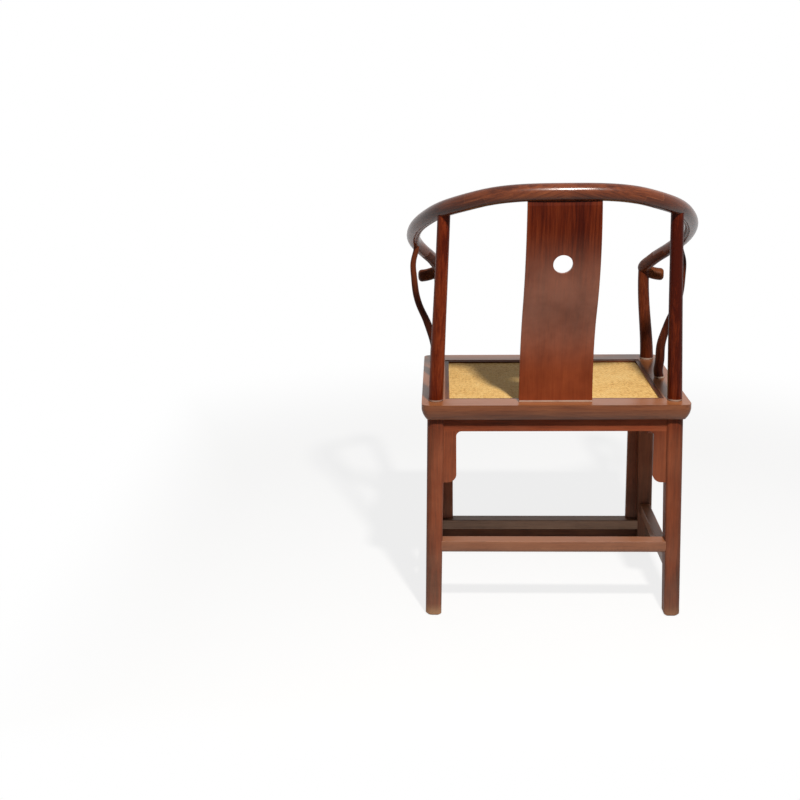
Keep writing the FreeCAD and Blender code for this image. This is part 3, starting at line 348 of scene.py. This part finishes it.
    def board(self, sheet: Sheet, where: bpy.types.NodeSocket, fibres: Vector | None,
              seed: float) -> bpy.types.NodeSocket:
        """Lay out a board's own coordinates, whose Z follows its fibres.

        Args:
            sheet: The material being made.
            where: The place on the chair.
            fibres: The direction of the fibres, or None where they follow the rail.
            seed: How far along the tree the board was cut.

        Returns:
            The coordinates.
        """
        if fibres is not None:
            turn = fibres.rotation_difference(Vector((0.0, 0.0, 1.0))).to_euler()
            start = tuple(seed * way for way in self.seed_ways)
            size = (1.0, self.depth, 1.0)
            inputs = {"Vector": where, "Rotation": turn, "Location": start, "Scale": size}
            return sheet.add("Mapping", inputs).outputs[0]
        across, along, height = sheet.add("SeparateXYZ", {0: where}).outputs[:3]
        ahead = sheet.maths("SUBTRACT", self.bend_start, along)
        behind = sheet.maths("MAXIMUM", sheet.maths("MULTIPLY", ahead, -1.0), 0.0)
        ahead = sheet.maths("MAXIMUM", ahead, 0.0)
        out = sheet.maths("ABSOLUTE", across)
        turn = sheet.maths("ARCTAN2", out, behind)
        length = sheet.maths("MULTIPLY_ADD", turn, self.bend_radius, ahead)
        reach = sheet.add("CombineXYZ", {0: out, 1: behind}).outputs[0]
        radius = sheet.add("VectorMath", {0: reach}, operation="LENGTH").outputs["Value"]
        level = sheet.maths("MULTIPLY_ADD", length, self.bend_fall, height)
        signed = sheet.maths("MULTIPLY", length, sheet.maths("SIGN", across))
        return sheet.add("CombineXYZ", {0: radius, 1: level, 2: signed}).outputs[0]

    def age(self, sheet: Sheet, wood: bpy.types.NodeSocket, board: bpy.types.NodeSocket,
            height: bpy.types.NodeSocket) -> tuple[bpy.types.NodeSocket, bpy.types.NodeSocket]:
        """Pale the wood lower down, scuff the feet and paint a pale line round the uprights. On the
        legs the paling is faded wood; on the splat it is a painted sheen and painted light. The
        line is partly dust and partly a painted highlight.

        Args:
            sheet: The material being made.
            wood: The fresh wood's colour.
            board: The piece's own coordinates.
            height: The height above the floor.

        Returns:
            The colour with its wear and painted light, and how dull the polish is.
        """
        patchy = sheet.noise(board, self.patch_scale, 3.0)
        # Paler lower down: fading on the legs, painted sheen and painted light on the splat.
        fade_and_sheen = sheet.spread(height, *self.fade_and_sheen_span)
        strength = sheet.spread(patchy, *self.patch_span, *self.fade_and_sheen_strength)
        fade_and_sheen = sheet.maths("MULTIPLY", fade_and_sheen, strength)
        pale = sheet.blend(sheet.spread(height, *self.fade_and_sheen_grey_span), self.bleach_and_sheen, self.fade_and_sheen)
        wood = sheet.blend(fade_and_sheen, wood, pale)
        uneven = sheet.maths("MULTIPLY_ADD", patchy, self.foot_wander, height)
        scuffed = sheet.spread(uneven, self.foot_height + self.foot_fade, self.foot_fade)
        share = sheet.maths("MULTIPLY", scuffed, self.scuff_strength)
        wood = sheet.blend(share, wood, self.scuffed)
        # A pale line round each upright just above the seat: partly dust, partly a painted
        # highlight where the upright meets the seat.
        middle = SEAT_TOP + self.dust_glint_gap + self.dust_glint_line / 2
        above_seat = sheet.maths("SUBTRACT", height, middle)
        line = sheet.maths("COMPARE", above_seat, 0.0, self.dust_glint_line / 2)
        dust_glint_share = sheet.spread(patchy, *self.dust_glint_span, *self.dust_glint_strength)
        line = sheet.maths("MULTIPLY", line, dust_glint_share)
        wood = sheet.blend(line, wood, self.dust_and_glint)
        return wood, sheet.maths("MAXIMUM", sheet.maths("MAXIMUM", scuffed, line), fade_and_sheen)

    def edge_wear_and_glint(self, sheet: Sheet, board: bpy.types.NodeSocket) -> bpy.types.NodeSocket:
        """Find the arrises, which get wear and a painted highlight.

        Args:
            sheet: The material being made.
            board: The piece's own coordinates.

        Returns:
            A mask that is 1 on an arris, rubbed and given a painted highlight, and 0 on a flat.
        """
        soft = sheet.add("Bevel", {"Radius": self.edge}, samples=4).outputs[0]
        flat = sheet.add("NewGeometry").outputs["Normal"]
        same = sheet.add("VectorMath", {0: soft, 1: flat}, operation="DOT_PRODUCT").outputs["Value"]
        rim = sheet.spread(same, *self.edge_span)
        patchy = sheet.noise(board, self.edge_scale)
        return sheet.maths("MULTIPLY", rim, sheet.spread(patchy, *self.edge_patches))


@dataclass(frozen=True)
class CaneFinish:
    """Split cane, golden where it is new and browner where it is rubbed."""

    pale: Colour = (0.960, 0.660, 0.270)
    golden: Colour = (0.920, 0.570, 0.190)
    brown: Colour = (0.620, 0.330, 0.090)
    gap_shade: Colour = (0.070, 0.035, 0.014)
    tone_stops: tuple[float, float, float] = (0.25, 0.48, 0.72)
    stretch: float = 0.04
    stain_scale: float = 11.0
    stain_weight: float = 0.5
    mottle_scale: float = 120.0
    mottle_weight: float = 1.2
    gap_shade_weight: float = 0.62
    fibre_scale: float = 2400.0
    gloss: float = 0.15

    def material(self, name: str, strand: float) -> bpy.types.Material:
        """Make the cane's material.

        Args:
            name: The material's name.
            strand: The width of a strand, in metres.

        Returns:
            The material.
        """
        sheet = Sheet(name)
        where = sheet.add("TexCoord").outputs["Object"]
        along, across = (
            sheet.add("Mapping", {"Vector": where, "Scale": scale}).outputs[0]
            for scale in ((1.0, self.stretch, 1.0), (self.stretch, 1.0, 1.0))
        )
        warp = sheet.noise(along, 1.0 / strand, 2.0)
        weft = sheet.noise(across, 1.0 / strand, 2.0)
        over = sheet.add("Attribute", attribute_name="over").outputs["Fac"]
        low = sheet.add("Attribute", attribute_name="low").outputs["Fac"]
        tone = sheet.add("Mix", {0: over, 2: weft, 3: warp}, data_type="FLOAT").outputs[0]
        stain = sheet.noise(where, self.stain_scale, 4.0, 0.6)
        bunch = sheet.add("Mapping", {"Vector": where, "Scale": (1.0, 1.5, 1.0)}).outputs[0]
        mottle = sheet.noise(bunch, self.mottle_scale, 3.0, 0.6)
        for cloud, weight in ((stain, self.stain_weight), (mottle, self.mottle_weight)):
            tone = sheet.maths("MULTIPLY_ADD", sheet.maths("SUBTRACT", cloud, 0.5), weight, tone)
        cane = sheet.ramp(tone, list(zip(self.tone_stops, (self.brown, self.golden, self.pale))))
        # Painted shade: where a strand dives under, the weave is darkened towards the gap colour.
        cane = sheet.blend(sheet.maths("MULTIPLY", low, self.gap_shade_weight), cane, self.gap_shade)
        rough = sheet.maths("MULTIPLY_ADD", warp, 0.15, 0.55)
        fibre = sheet.noise(where, self.fibre_scale, 1.0)
        bump = sheet.add("Bump", {"Height": fibre, "Strength": 0.25, "Distance": 0.0001})
        shader = sheet.add("BsdfPrincipled", {
            "Base Color": cane,
            "Roughness": rough,
            "Normal": bump.outputs[0],
            "Specular IOR Level": self.gloss,
        })
        return sheet.finish(shader)


@dataclass(frozen=True)
class WebbingFinish:
    """Brown palm fibre cord, laid side by side in flat bands."""

    dark: Colour = (0.090, 0.048, 0.022)
    light: Colour = (0.310, 0.190, 0.095)
    skew: float = 0.7
    twist_scale: float = 110.0
    hair_scale: float = 900.0
    sheen: float = 0.2

    def material(self, name: str) -> bpy.types.Material:
        """Make the cord's material.

        Args:
            name: The material's name.

        Returns:
            The material.
        """
        sheet = Sheet(name)
        where = sheet.add("TexCoord").outputs["Object"]
        slant = {"Vector": where, "Rotation": (0.0, 0.0, self.skew)}
        skewed = sheet.add("Mapping", slant).outputs[0]
        twist = sheet.add("TexWave", {"Vector": skewed, "Scale": self.twist_scale,
                                      "Distortion": 2.0, "Detail": 2.0}).outputs[1]
        hair = sheet.noise(where, self.hair_scale, 3.0)
        tone = sheet.maths("MULTIPLY_ADD", twist, 0.4, sheet.maths("MULTIPLY", hair, 0.6))
        fibre = sheet.ramp(tone, [(0.25, self.dark), (0.7, self.light)])
        bump = sheet.add("Bump", {"Height": tone, "Strength": 0.6, "Distance": 0.0005})
        shader = sheet.add("BsdfPrincipled", {
            "Base Color": fibre,
            "Roughness": sheet.maths("MULTIPLY_ADD", hair, 0.2, 0.7),
            "Normal": bump.outputs[0],
            "Sheen Weight": self.sheen,
        })
        return sheet.finish(shader)


@dataclass
class Woodwork:
    """The hardwood pieces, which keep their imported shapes, with their finishes."""

    finish: HardwoodFinish = HardwoodFinish()
    rail_finish: HardwoodFinish = HardwoodFinish(
        place=Place.HANDLED,
        dark=(0.045, 0.0090, 0.0026),
        middle=(0.105, 0.0240, 0.0070),
        light=(0.180, 0.0520, 0.0160),
        polish=0.24,
        gloss=0.25,
        figure=1.0,
    )
    frame_finish: HardwoodFinish = HardwoodFinish(
        place=Place.HANDLED,
        dark=(0.070, 0.0180, 0.0058),
        middle=(0.145, 0.0440, 0.0160),
        light=(0.220, 0.0800, 0.0310),
        polish=0.30,
        gloss=0.27,
        # Painted reflection: the tops of the seat frame and stretchers carry a painted sheen.
        painted_sheen_strength=0.40,
        figure=0.7,
    )
    footrest_finish: HardwoodFinish = HardwoodFinish(
        place=Place.HANDLED,
        dark=(0.080, 0.0360, 0.0200),
        middle=(0.170, 0.0900, 0.0560),
        light=(0.270, 0.1500, 0.0950),
        polish=0.42,
        gloss=0.25,
        figure=0.8,
    )
    # Painted shade: the aprons, set back under the seat and footrest, are darkened where shade
    # falls.
    apron_painted_shade_finish: HardwoodFinish = HardwoodFinish(
        dark=(0.030, 0.0060, 0.0020),
        middle=(0.060, 0.0150, 0.0060),
        light=(0.100, 0.0300, 0.0120),
        fade_and_sheen_strength=(0.04, 0.12),
        gloss=0.05,
    )
    # Painted light: the splat is darker at its top, with a painted grey sheen band and painted
    # light where its lower part faces up.
    splat_painted_light_finish: HardwoodFinish = HardwoodFinish(
        dark=(0.030, 0.0028, 0.0007),
        middle=(0.064, 0.0080, 0.0019),
        light=(0.108, 0.0185, 0.0050),
        bleach_and_sheen=(0.340, 0.0740, 0.0250),
        fade_and_sheen=(0.520, 0.2350, 0.1600),
        fade_and_sheen_grey_span=(0.58, 0.76),
        fade_and_sheen_span=(0.94, 0.74),
        fade_and_sheen_strength=(0.26, 0.52),
        depth=0.12,
    )
    right_leg_finish: HardwoodFinish = HardwoodFinish(
        dark=(0.044, 0.0042, 0.0010),
        middle=(0.092, 0.0120, 0.0028),
        light=(0.155, 0.0270, 0.0072),
        bleach_and_sheen=(0.290, 0.1170, 0.0640),
        fade_and_sheen=(0.190, 0.1300, 0.0920),
        scuff_strength=0.26,
    )
    # Painted shade: the front posts and side braces are darkened where they stand in shade.
    front_post_painted_shade_finish: HardwoodFinish = HardwoodFinish(
        dark=(0.036, 0.0050, 0.0012),
        middle=(0.074, 0.0125, 0.0032),
        light=(0.125, 0.0270, 0.0080),
    )
    brace_painted_shade_finish: HardwoodFinish = HardwoodFinish(
        dark=(0.024, 0.0034, 0.0009),
        middle=(0.050, 0.0090, 0.0024),
        light=(0.090, 0.0190, 0.0056),
    )
    grip_finish: HardwoodFinish = HardwoodFinish(
        place=Place.HANDLED,
        dark=(0.036, 0.0072, 0.0020),
        middle=(0.085, 0.0195, 0.0056),
        light=(0.150, 0.0430, 0.0132),
        polish=0.42,
        figure=1.0,
    )
    strip_finish: HardwoodFinish = HardwoodFinish(
        dark=(0.045, 0.0120, 0.0050),
        middle=(0.110, 0.0340, 0.0140),
        light=(0.190, 0.0700, 0.0300),
        polish=0.34,
    )
    hidden_finish: HardwoodFinish = HardwoodFinish(place=Place.HIDDEN)
    shade_step: float = 0.008
    shades: int = 7
    shade_stride: int = 5
    seed_step: float = 0.37

    def fibres(self, node: str) -> Vector | None:
        """Return the direction in which a piece's board was sawn.

        Args:
            node: The piece's name.

        Returns:
            A unit vector along its fibres, or None for a section of the rail.
        """
        if node.startswith(("crest_rail", "rail_side", "arm_grip")):
            return None
        if any(word in node for word in ("post", "brace", "splat", "spandrel", "front_strip")):
            return Vector(Grain.UPRIGHT.value)
        low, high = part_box(node)
        size = [high[axis] - low[axis] for axis in range(3)]
        return Vector((Grain.ACROSS, Grain.ALONG, Grain.UPRIGHT)[size.index(max(size))].value)

    def finish_of(self, node: str) -> HardwoodFinish:
        """Return the finish of a piece.

        Args:
            node: The piece's name.

        Returns:
            Its finish.
        """
        rules = (
            (self.rail_finish, ("crest_rail", "rail_side")),
            (self.grip_finish, ("arm_grip",)),
            (self.splat_painted_light_finish, ("back_splat",)),
            (self.brace_painted_shade_finish, ("side_brace",)),
            (self.frame_finish, ("seat_rail", "rear_stretcher", "side_stretcher")),
            (self.strip_finish, ("holding_strip",)),
            (self.right_leg_finish, ("rear_leg_post_right", "rear_spandrel_right")),
            (self.front_post_painted_shade_finish, ("front_leg_post",)),
            (self.apron_painted_shade_finish, ("footrest_apron", "front_apron", "side_apron")),
            (self.footrest_finish, ("footrest",)),
            (self.hidden_finish, ("seat_batten", "scarf_pin")),
        )
        return next((finish for finish, starts in rules if node.startswith(starts)), self.finish)

    def dress(self, skip: tuple[str, ...]) -> int:
        """Give each wooden piece its own material.

        Args:
            skip: The pieces that aren't wood.

        Returns:
            How many pieces were dressed.
        """
        count = 0
        for index, (node, item) in enumerate(sorted(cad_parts.items())):
            if node in skip:
                continue
            shade = self.shade_step * (index * self.shade_stride % self.shades - self.shades // 2)
            seed = self.seed_step * (index + 1)
            finish = self.finish_of(node)
            material = finish.material(f"hardwood_{node}", self.fibres(node), seed, shade)
            for slot in item.material_slots:
                slot.material = material
            count += 1
            log.info("dressed %s", node)
        return count


def mesh_piece(name: str, points: np.ndarray, quads: np.ndarray) -> bpy.types.Object:
    """Make a mesh object from points and four-sided faces.

    Args:
        name: The object's name.
        points: One row of coordinates per point, in metres.
        quads: One row of four point numbers per face.

    Returns:
        The object, linked to the scene.
    """
    mesh = bpy.data.meshes.new(name)
    mesh.from_pydata(points.tolist(), [], quads.tolist())
    mesh.validate()
    mesh.polygons.foreach_set("use_smooth", [True] * len(mesh.polygons))
    item = bpy.data.objects.new(name, mesh)
    bpy.context.scene.collection.objects.link(item)
    return item


def grid_faces(columns: int, rows: int) -> np.ndarray:
    """Return the faces of a grid of points that is numbered row by row.

    Args:
        columns: The points in each row.
        rows: The rows of points.

    Returns:
        One row of four point numbers per face.
    """
    first = (np.arange(rows - 1)[:, None] * columns + np.arange(columns - 1)[None, :]).ravel()
    return np.stack([first, first + 1, first + columns + 1, first + columns], axis=1)


@dataclass
class CaneMat:
    """The woven seat: every strand passes over two others and under two.

    It sinks by its sag within the given number of strands from its edge. Crown and
    crossing are a strand's heights, as shares of the relief.
    """

    node: str = "cane_mat"
    strand: float = 2.6 * MM
    relief: float = 0.6 * MM
    thickness: float = 1.1 * MM
    sag: float = 0.35 * MM
    edge_strands: float = 12.0
    crown: float = 0.9
    crossing: float = 0.45
    finish: CaneFinish = CaneFinish()

    def build(self) -> bpy.types.Object:
        """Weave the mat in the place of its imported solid.

        Returns:
            The mat.
        """
        low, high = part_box(self.node)
        width, length = high[0] - low[0], high[1] - low[1]
        columns = round(width / self.strand)
        rows = round(length / self.strand)
        across = np.arange(2 * columns + 1) / 2
        along = np.arange(2 * rows + 1) / 2
        column, row = np.meshgrid(across, along)
        lift, over = self.weave(column, row)
        edge = np.minimum.reduce([column, columns - column, row, rows - row])
        inward = np.clip(edge / self.edge_strands, 0, 1)
        droop = inward**2 * (3 - 2 * inward)
        level = high[2] - self.relief + lift * self.relief - droop * self.sag
        points = np.stack([
            low[0] + column * width / columns,
            low[1] + row * length / rows,
            level,
        ], axis=-1).reshape(-1, 3)
        mat = mesh_piece("woven_cane_mat", points, grid_faces(len(across), len(along)))
        # over marks the strand on top; low marks the sunk points, which the cane's material darkens
        # as painted shade.
        for name, values in (("over", over), ("low", np.clip(0.5 - lift, 0, 1) * 2)):
            layer = mat.data.attributes.new(name, "FLOAT", "POINT")
            layer.data.foreach_set("value", values.ravel().astype(np.float32))
        solid = mat.modifiers.new("thickness", "SOLIDIFY")
        solid.thickness = self.thickness
        solid.offset = -1.0
        mat.data.materials.append(self.finish.material("split_cane", self.strand))
        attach(mat, BODY)
        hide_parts(self.node)
        log.info("wove %d by %d strands", columns, rows)
        return mat

    def weave(self, column: np.ndarray, row: np.ndarray) -> tuple[np.ndarray, np.ndarray]:
        """Work out the weave's height at each point.

        Args:
            column: The place across the mat, counted in strands.
            row: The place along the mat, counted in strands.

        Returns:
            The height from 0 to 1, and 1 where the strand on top runs along the mat.
        """
        cell_column = np.floor(np.minimum(column, column.max() - 0.25)).astype(int)
        cell_row = np.floor(np.minimum(row, row.max() - 0.25)).astype(int)
        phase = (cell_column + cell_row) % 4
        over = (phase < 2).astype(float)
        at_column = column % 1.0
        at_row = row % 1.0
        dives = phase % 2 == 0
        warp = np.where((at_row == 0.0) & dives, self.crossing, self.crown)
        weft = np.where((at_column == 0.0) & dives, self.crossing, self.crown)
        lift = np.where(over > 0.5, (at_column == 0.5) * warp, (at_row == 0.5) * weft)
        return lift, over


@dataclass
class SeatWebbing:
    """The net of interlaced cord bands that carries the cane mat from below.

    The opening is the seat frame's, across and along. The groove is how thick a band is
    between its cords, as a share of its thickness.
    """

    node: str = "seat_webbing"
    pitch: float = 34.0 * MM
    band: float = 14.0 * MM
    cords: int = 4
    cord_height: float = 0.55 * MM
    groove: float = 0.35
    weave_height: float = 0.35 * MM
    opening: tuple[float, float] = (474.0 * MM, 336.0 * MM)
    steps_per_crossing: int = 8
    finish: WebbingFinish = WebbingFinish()

    def build(self) -> bpy.types.Object:
        """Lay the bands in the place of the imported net.

        Returns:
            The net.
        """
        low, high = (Vector(corner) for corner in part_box(self.node))
        middle = (low + high) / 2
        half = (high - low) / 2
        counts = [int(opening // self.pitch) for opening in self.opening]
        points, quads, start = [], [], 0
        for axis in (0, 1):
            other = 1 - axis
            for number in range(counts[other] + 1):
                centre = (number - counts[other] / 2) * self.pitch
                ribbon, faces = self.ribbon(half[axis], centre, number, counts[axis])
                ordered = ribbon if axis == 0 else ribbon[:, [1, 0, 2]] * (1, 1, -1)
                points.append(ordered + np.array(middle))
                quads.append((faces if axis == 0 else faces[:, ::-1]) + start)
                start += len(ribbon)
        net = mesh_piece("cord_webbing", np.concatenate(points), np.concatenate(quads))
        net.data.materials.append(self.finish.material("palm_cord"))
        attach(net, BODY)
        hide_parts(self.node)
        log.info("laid %d bands", sum(counts) + 2)
        return net

    def ribbon(self, reach: float, centre: float, number: int,
               crossings: int) -> tuple[np.ndarray, np.ndarray]:
        """Make one band along X about the net's middle, as a closed ribbed strip.

        Args:
            reach: Half of the band's length.
            centre: Its place along Y.
            number: Its number, which settles where it passes over and under.
            crossings: How many gaps it runs past.

        Returns:
            Its points and its faces.
        """
        steps = self.steps_per_crossing * (crossings + 2)
        along = np.linspace(-reach, reach, steps + 1)
        cycle = along / self.pitch + crossings / 2 + number
        height = self.weave_height * np.cos(math.pi * cycle)
        ribs = 2 * self.cords
        across = np.linspace(-self.band / 2, self.band / 2, ribs + 1)
        swell = np.abs(np.sin(math.pi * self.cords * (across / self.band + 0.5)))
        swell = self.cord_height * (self.groove + (1 - self.groove) * swell)
        section_y = np.concatenate([across, across[::-1]])
        section_z = np.concatenate([swell, -swell[::-1]])
        around = len(section_y)
        grid = np.empty((steps + 1, around, 3))
        grid[:, :, 0] = along[:, None]
        grid[:, :, 1] = centre + section_y[None, :]
        grid[:, :, 2] = height[:, None] + section_z[None, :]
        ring = np.arange(around)
        step = np.arange(steps)[:, None] * around
        faces = np.stack([
            step + ring, step + (ring + 1) % around,
            step + around + (ring + 1) % around, step + around + ring,
        ], axis=-1).reshape(-1, 4)
        half = np.arange(ribs)
        for base, flip in ((0, False), (steps * around, True)):
            cap = np.stack([half, half + 1, around - 2 - half, around - 1 - half], axis=-1)
            faces = np.concatenate([faces, base + (cap if flip else cap[:, ::-1])])
        return grid.reshape(-1, 3), faces[:, ::-1]


@dataclass
class Studio:
    """A roll of white paper under the chair, a white room and one lamp behind it.

    The paper is given by its left, right, front and back edges. A fade holds the two
    distances between which it turns from lit paper to plain white.
    """

    paper: tuple[float, float, float, float] = (-1.4, 1.4, -2.6, 0.78)
    lamp_place: tuple[float, float, float] = (-0.30, 1.85, 2.50)
    lamp_radius: float = 0.085
    lamp_power: float = 400.0
    lamp_colour: Colour = (1.0, 0.965, 0.91)
    room_strength: float = 0.12
    front_strength: float = 0.50
    room_turn: tuple[float, float] = (-0.25, -0.80)
    floor_colour: Colour = (0.88, 0.88, 0.88)
    floor_grey: Colour = (0.70, 0.70, 0.70)
    floor_glow: float = 0.82
    mottle_scale: float = 1.5
    mottle_weight: float = 0.03
    side_fade: tuple[float, float] = (0.85, 1.36)
    back_fade: tuple[float, float] = (0.50, 0.75)
    far_fade: tuple[float, float] = (1.10, 2.40)

    def build(self) -> None:
        """Make the floor, the lamp and the world."""
        self.floor()
        self.key()
        self.world()
        bpy.context.scene.view_settings.view_transform = "Standard"

    def floor(self) -> None:
        """Lay the paper, white to the camera and in reflections, shaded under the chair."""
        left, right, front, back = self.paper
        points = np.array([(left, front, 0), (right, front, 0), (right, back, 0), (left, back, 0)])
        item = mesh_piece("studio_floor", points, np.array([(0, 1, 2, 3)]))
        sheet = Sheet("pale_floor")
        where = sheet.add("TexCoord").outputs["Object"]
        mottle = sheet.noise(where, self.mottle_scale)
        share = sheet.maths("MULTIPLY", mottle, self.mottle_weight)
        tint = sheet.blend(share, self.floor_colour, self.floor_grey)
        across, along = sheet.add("SeparateXYZ", {0: where}).outputs[:2]
        away = sheet.add("VectorMath", {0: where}, operation="LENGTH").outputs["Value"]
        beside = sheet.spread(sheet.maths("ABSOLUTE", across), *self.side_fade, self.floor_glow)
        behind = sheet.spread(along, *self.back_fade, self.floor_glow)
        far = sheet.spread(away, *self.far_fade, self.floor_glow)
        white = sheet.maths("MAXIMUM", far, sheet.maths("MAXIMUM", beside, behind))
        matt = sheet.add("BsdfDiffuse", {"Color": tint})
        glow = sheet.add("Emission", {"Color": (1.0, 1.0, 1.0, 1.0), "Strength": 1.0})
        share = sheet.maths("MULTIPLY", self.seen(sheet), white)
        mix = sheet.add("MixShader", {0: share, 1: matt.outputs[0], 2: glow.outputs[0]})
        item.data.materials.append(sheet.finish(mix))

    def seen(self, sheet: Sheet) -> bpy.types.NodeSocket:
        """Return 1 where a thing is looked at, mirrored or seen through glass, and 0 elsewhere."""
        paths = sheet.add("LightPath").outputs
        mirrored = sheet.maths("MAXIMUM", paths["Is Glossy Ray"], paths["Is Transmission Ray"])
        return sheet.maths("MAXIMUM", paths["Is Camera Ray"], mirrored)

    def key(self) -> None:
        """Hang the lamp behind the chair, to its right and above."""
        light = bpy.data.lights.new("key_lamp", "POINT")
        light.energy = self.lamp_power
        light.shadow_soft_size = self.lamp_radius
        light.color = self.lamp_colour
        item = bpy.data.objects.new("key_lamp", light)
        item.location = self.lamp_place
        bpy.context.scene.collection.objects.link(item)

    def world(self) -> None:
        """Light the room softly, most from the front; it is white to look at and in reflections."""
        sheet = Sheet("studio_room", world=True)
        way = sheet.add("TexCoord").outputs["Generated"]
        along = sheet.add("SeparateXYZ", {0: way}).outputs[1]
        soft = sheet.spread(along, *self.room_turn, self.room_strength, self.front_strength)
        level = sheet.maths("MAXIMUM", self.seen(sheet), soft)
        glow = sheet.add("Background", {"Color": (1.0, 1.0, 1.0, 1.0), "Strength": level})
        bpy.context.scene.world = sheet.finish(glow)


@dataclass
class Camera:
    """The photograph's view of the chair, from behind and a little to its left.

    Places are in metres, angles in degrees and the sensor in millimetres.
    """

    place: tuple[float, float, float] = (0.2516, 2.7380, 1.2791)
    yaw: float = 2.174
    pitch: float = 12.356
    roll: float = -0.766
    focal_pixels: float = 1181.4
    image_pixels: float = 800.0
    centre_pixels: tuple[float, float] = (400.0, 320.0)
    sensor: float = 36.0

    def build(self) -> bpy.types.Object:
        """Make the camera and point it.

        Returns:
            The camera.
        """
        data = bpy.data.cameras.new("photograph_view")
        data.sensor_width = self.sensor
        data.lens = self.focal_pixels * self.sensor / self.image_pixels
        data.shift_x = 0.5 - self.centre_pixels[0] / self.image_pixels
        data.shift_y = self.centre_pixels[1] / self.image_pixels - 0.5
        yaw, pitch, roll = (math.radians(value) for value in (self.yaw, self.pitch, self.roll))
        ahead = Vector((math.sin(yaw) * math.cos(pitch), -math.cos(yaw) * math.cos(pitch),
                        -math.sin(pitch)))
        right = ahead.cross(Vector((0.0, 0.0, 1.0))).normalized()
        above = right.cross(ahead)
        right, above = (
            math.cos(roll) * right + math.sin(roll) * above,
            math.cos(roll) * above - math.sin(roll) * right,
        )
        item = bpy.data.objects.new("photograph_view", data)
        turn = Matrix((right, above, -ahead)).transposed()
        item.matrix_world = Matrix.Translation(self.place) @ turn.to_4x4()
        bpy.context.scene.collection.objects.link(item)
        bpy.context.scene.camera = item
        return item


def main() -> None:
    """Build the chair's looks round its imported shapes."""
    Camera().build()
    Studio().build()
    mat = CaneMat()
    webbing = SeatWebbing()
    mat.build()
    webbing.build()
    count = Woodwork().dress(skip=(mat.node, webbing.node))
    log.info("dressed %d wooden pieces", count)


if __name__ == "__main__":
    main()
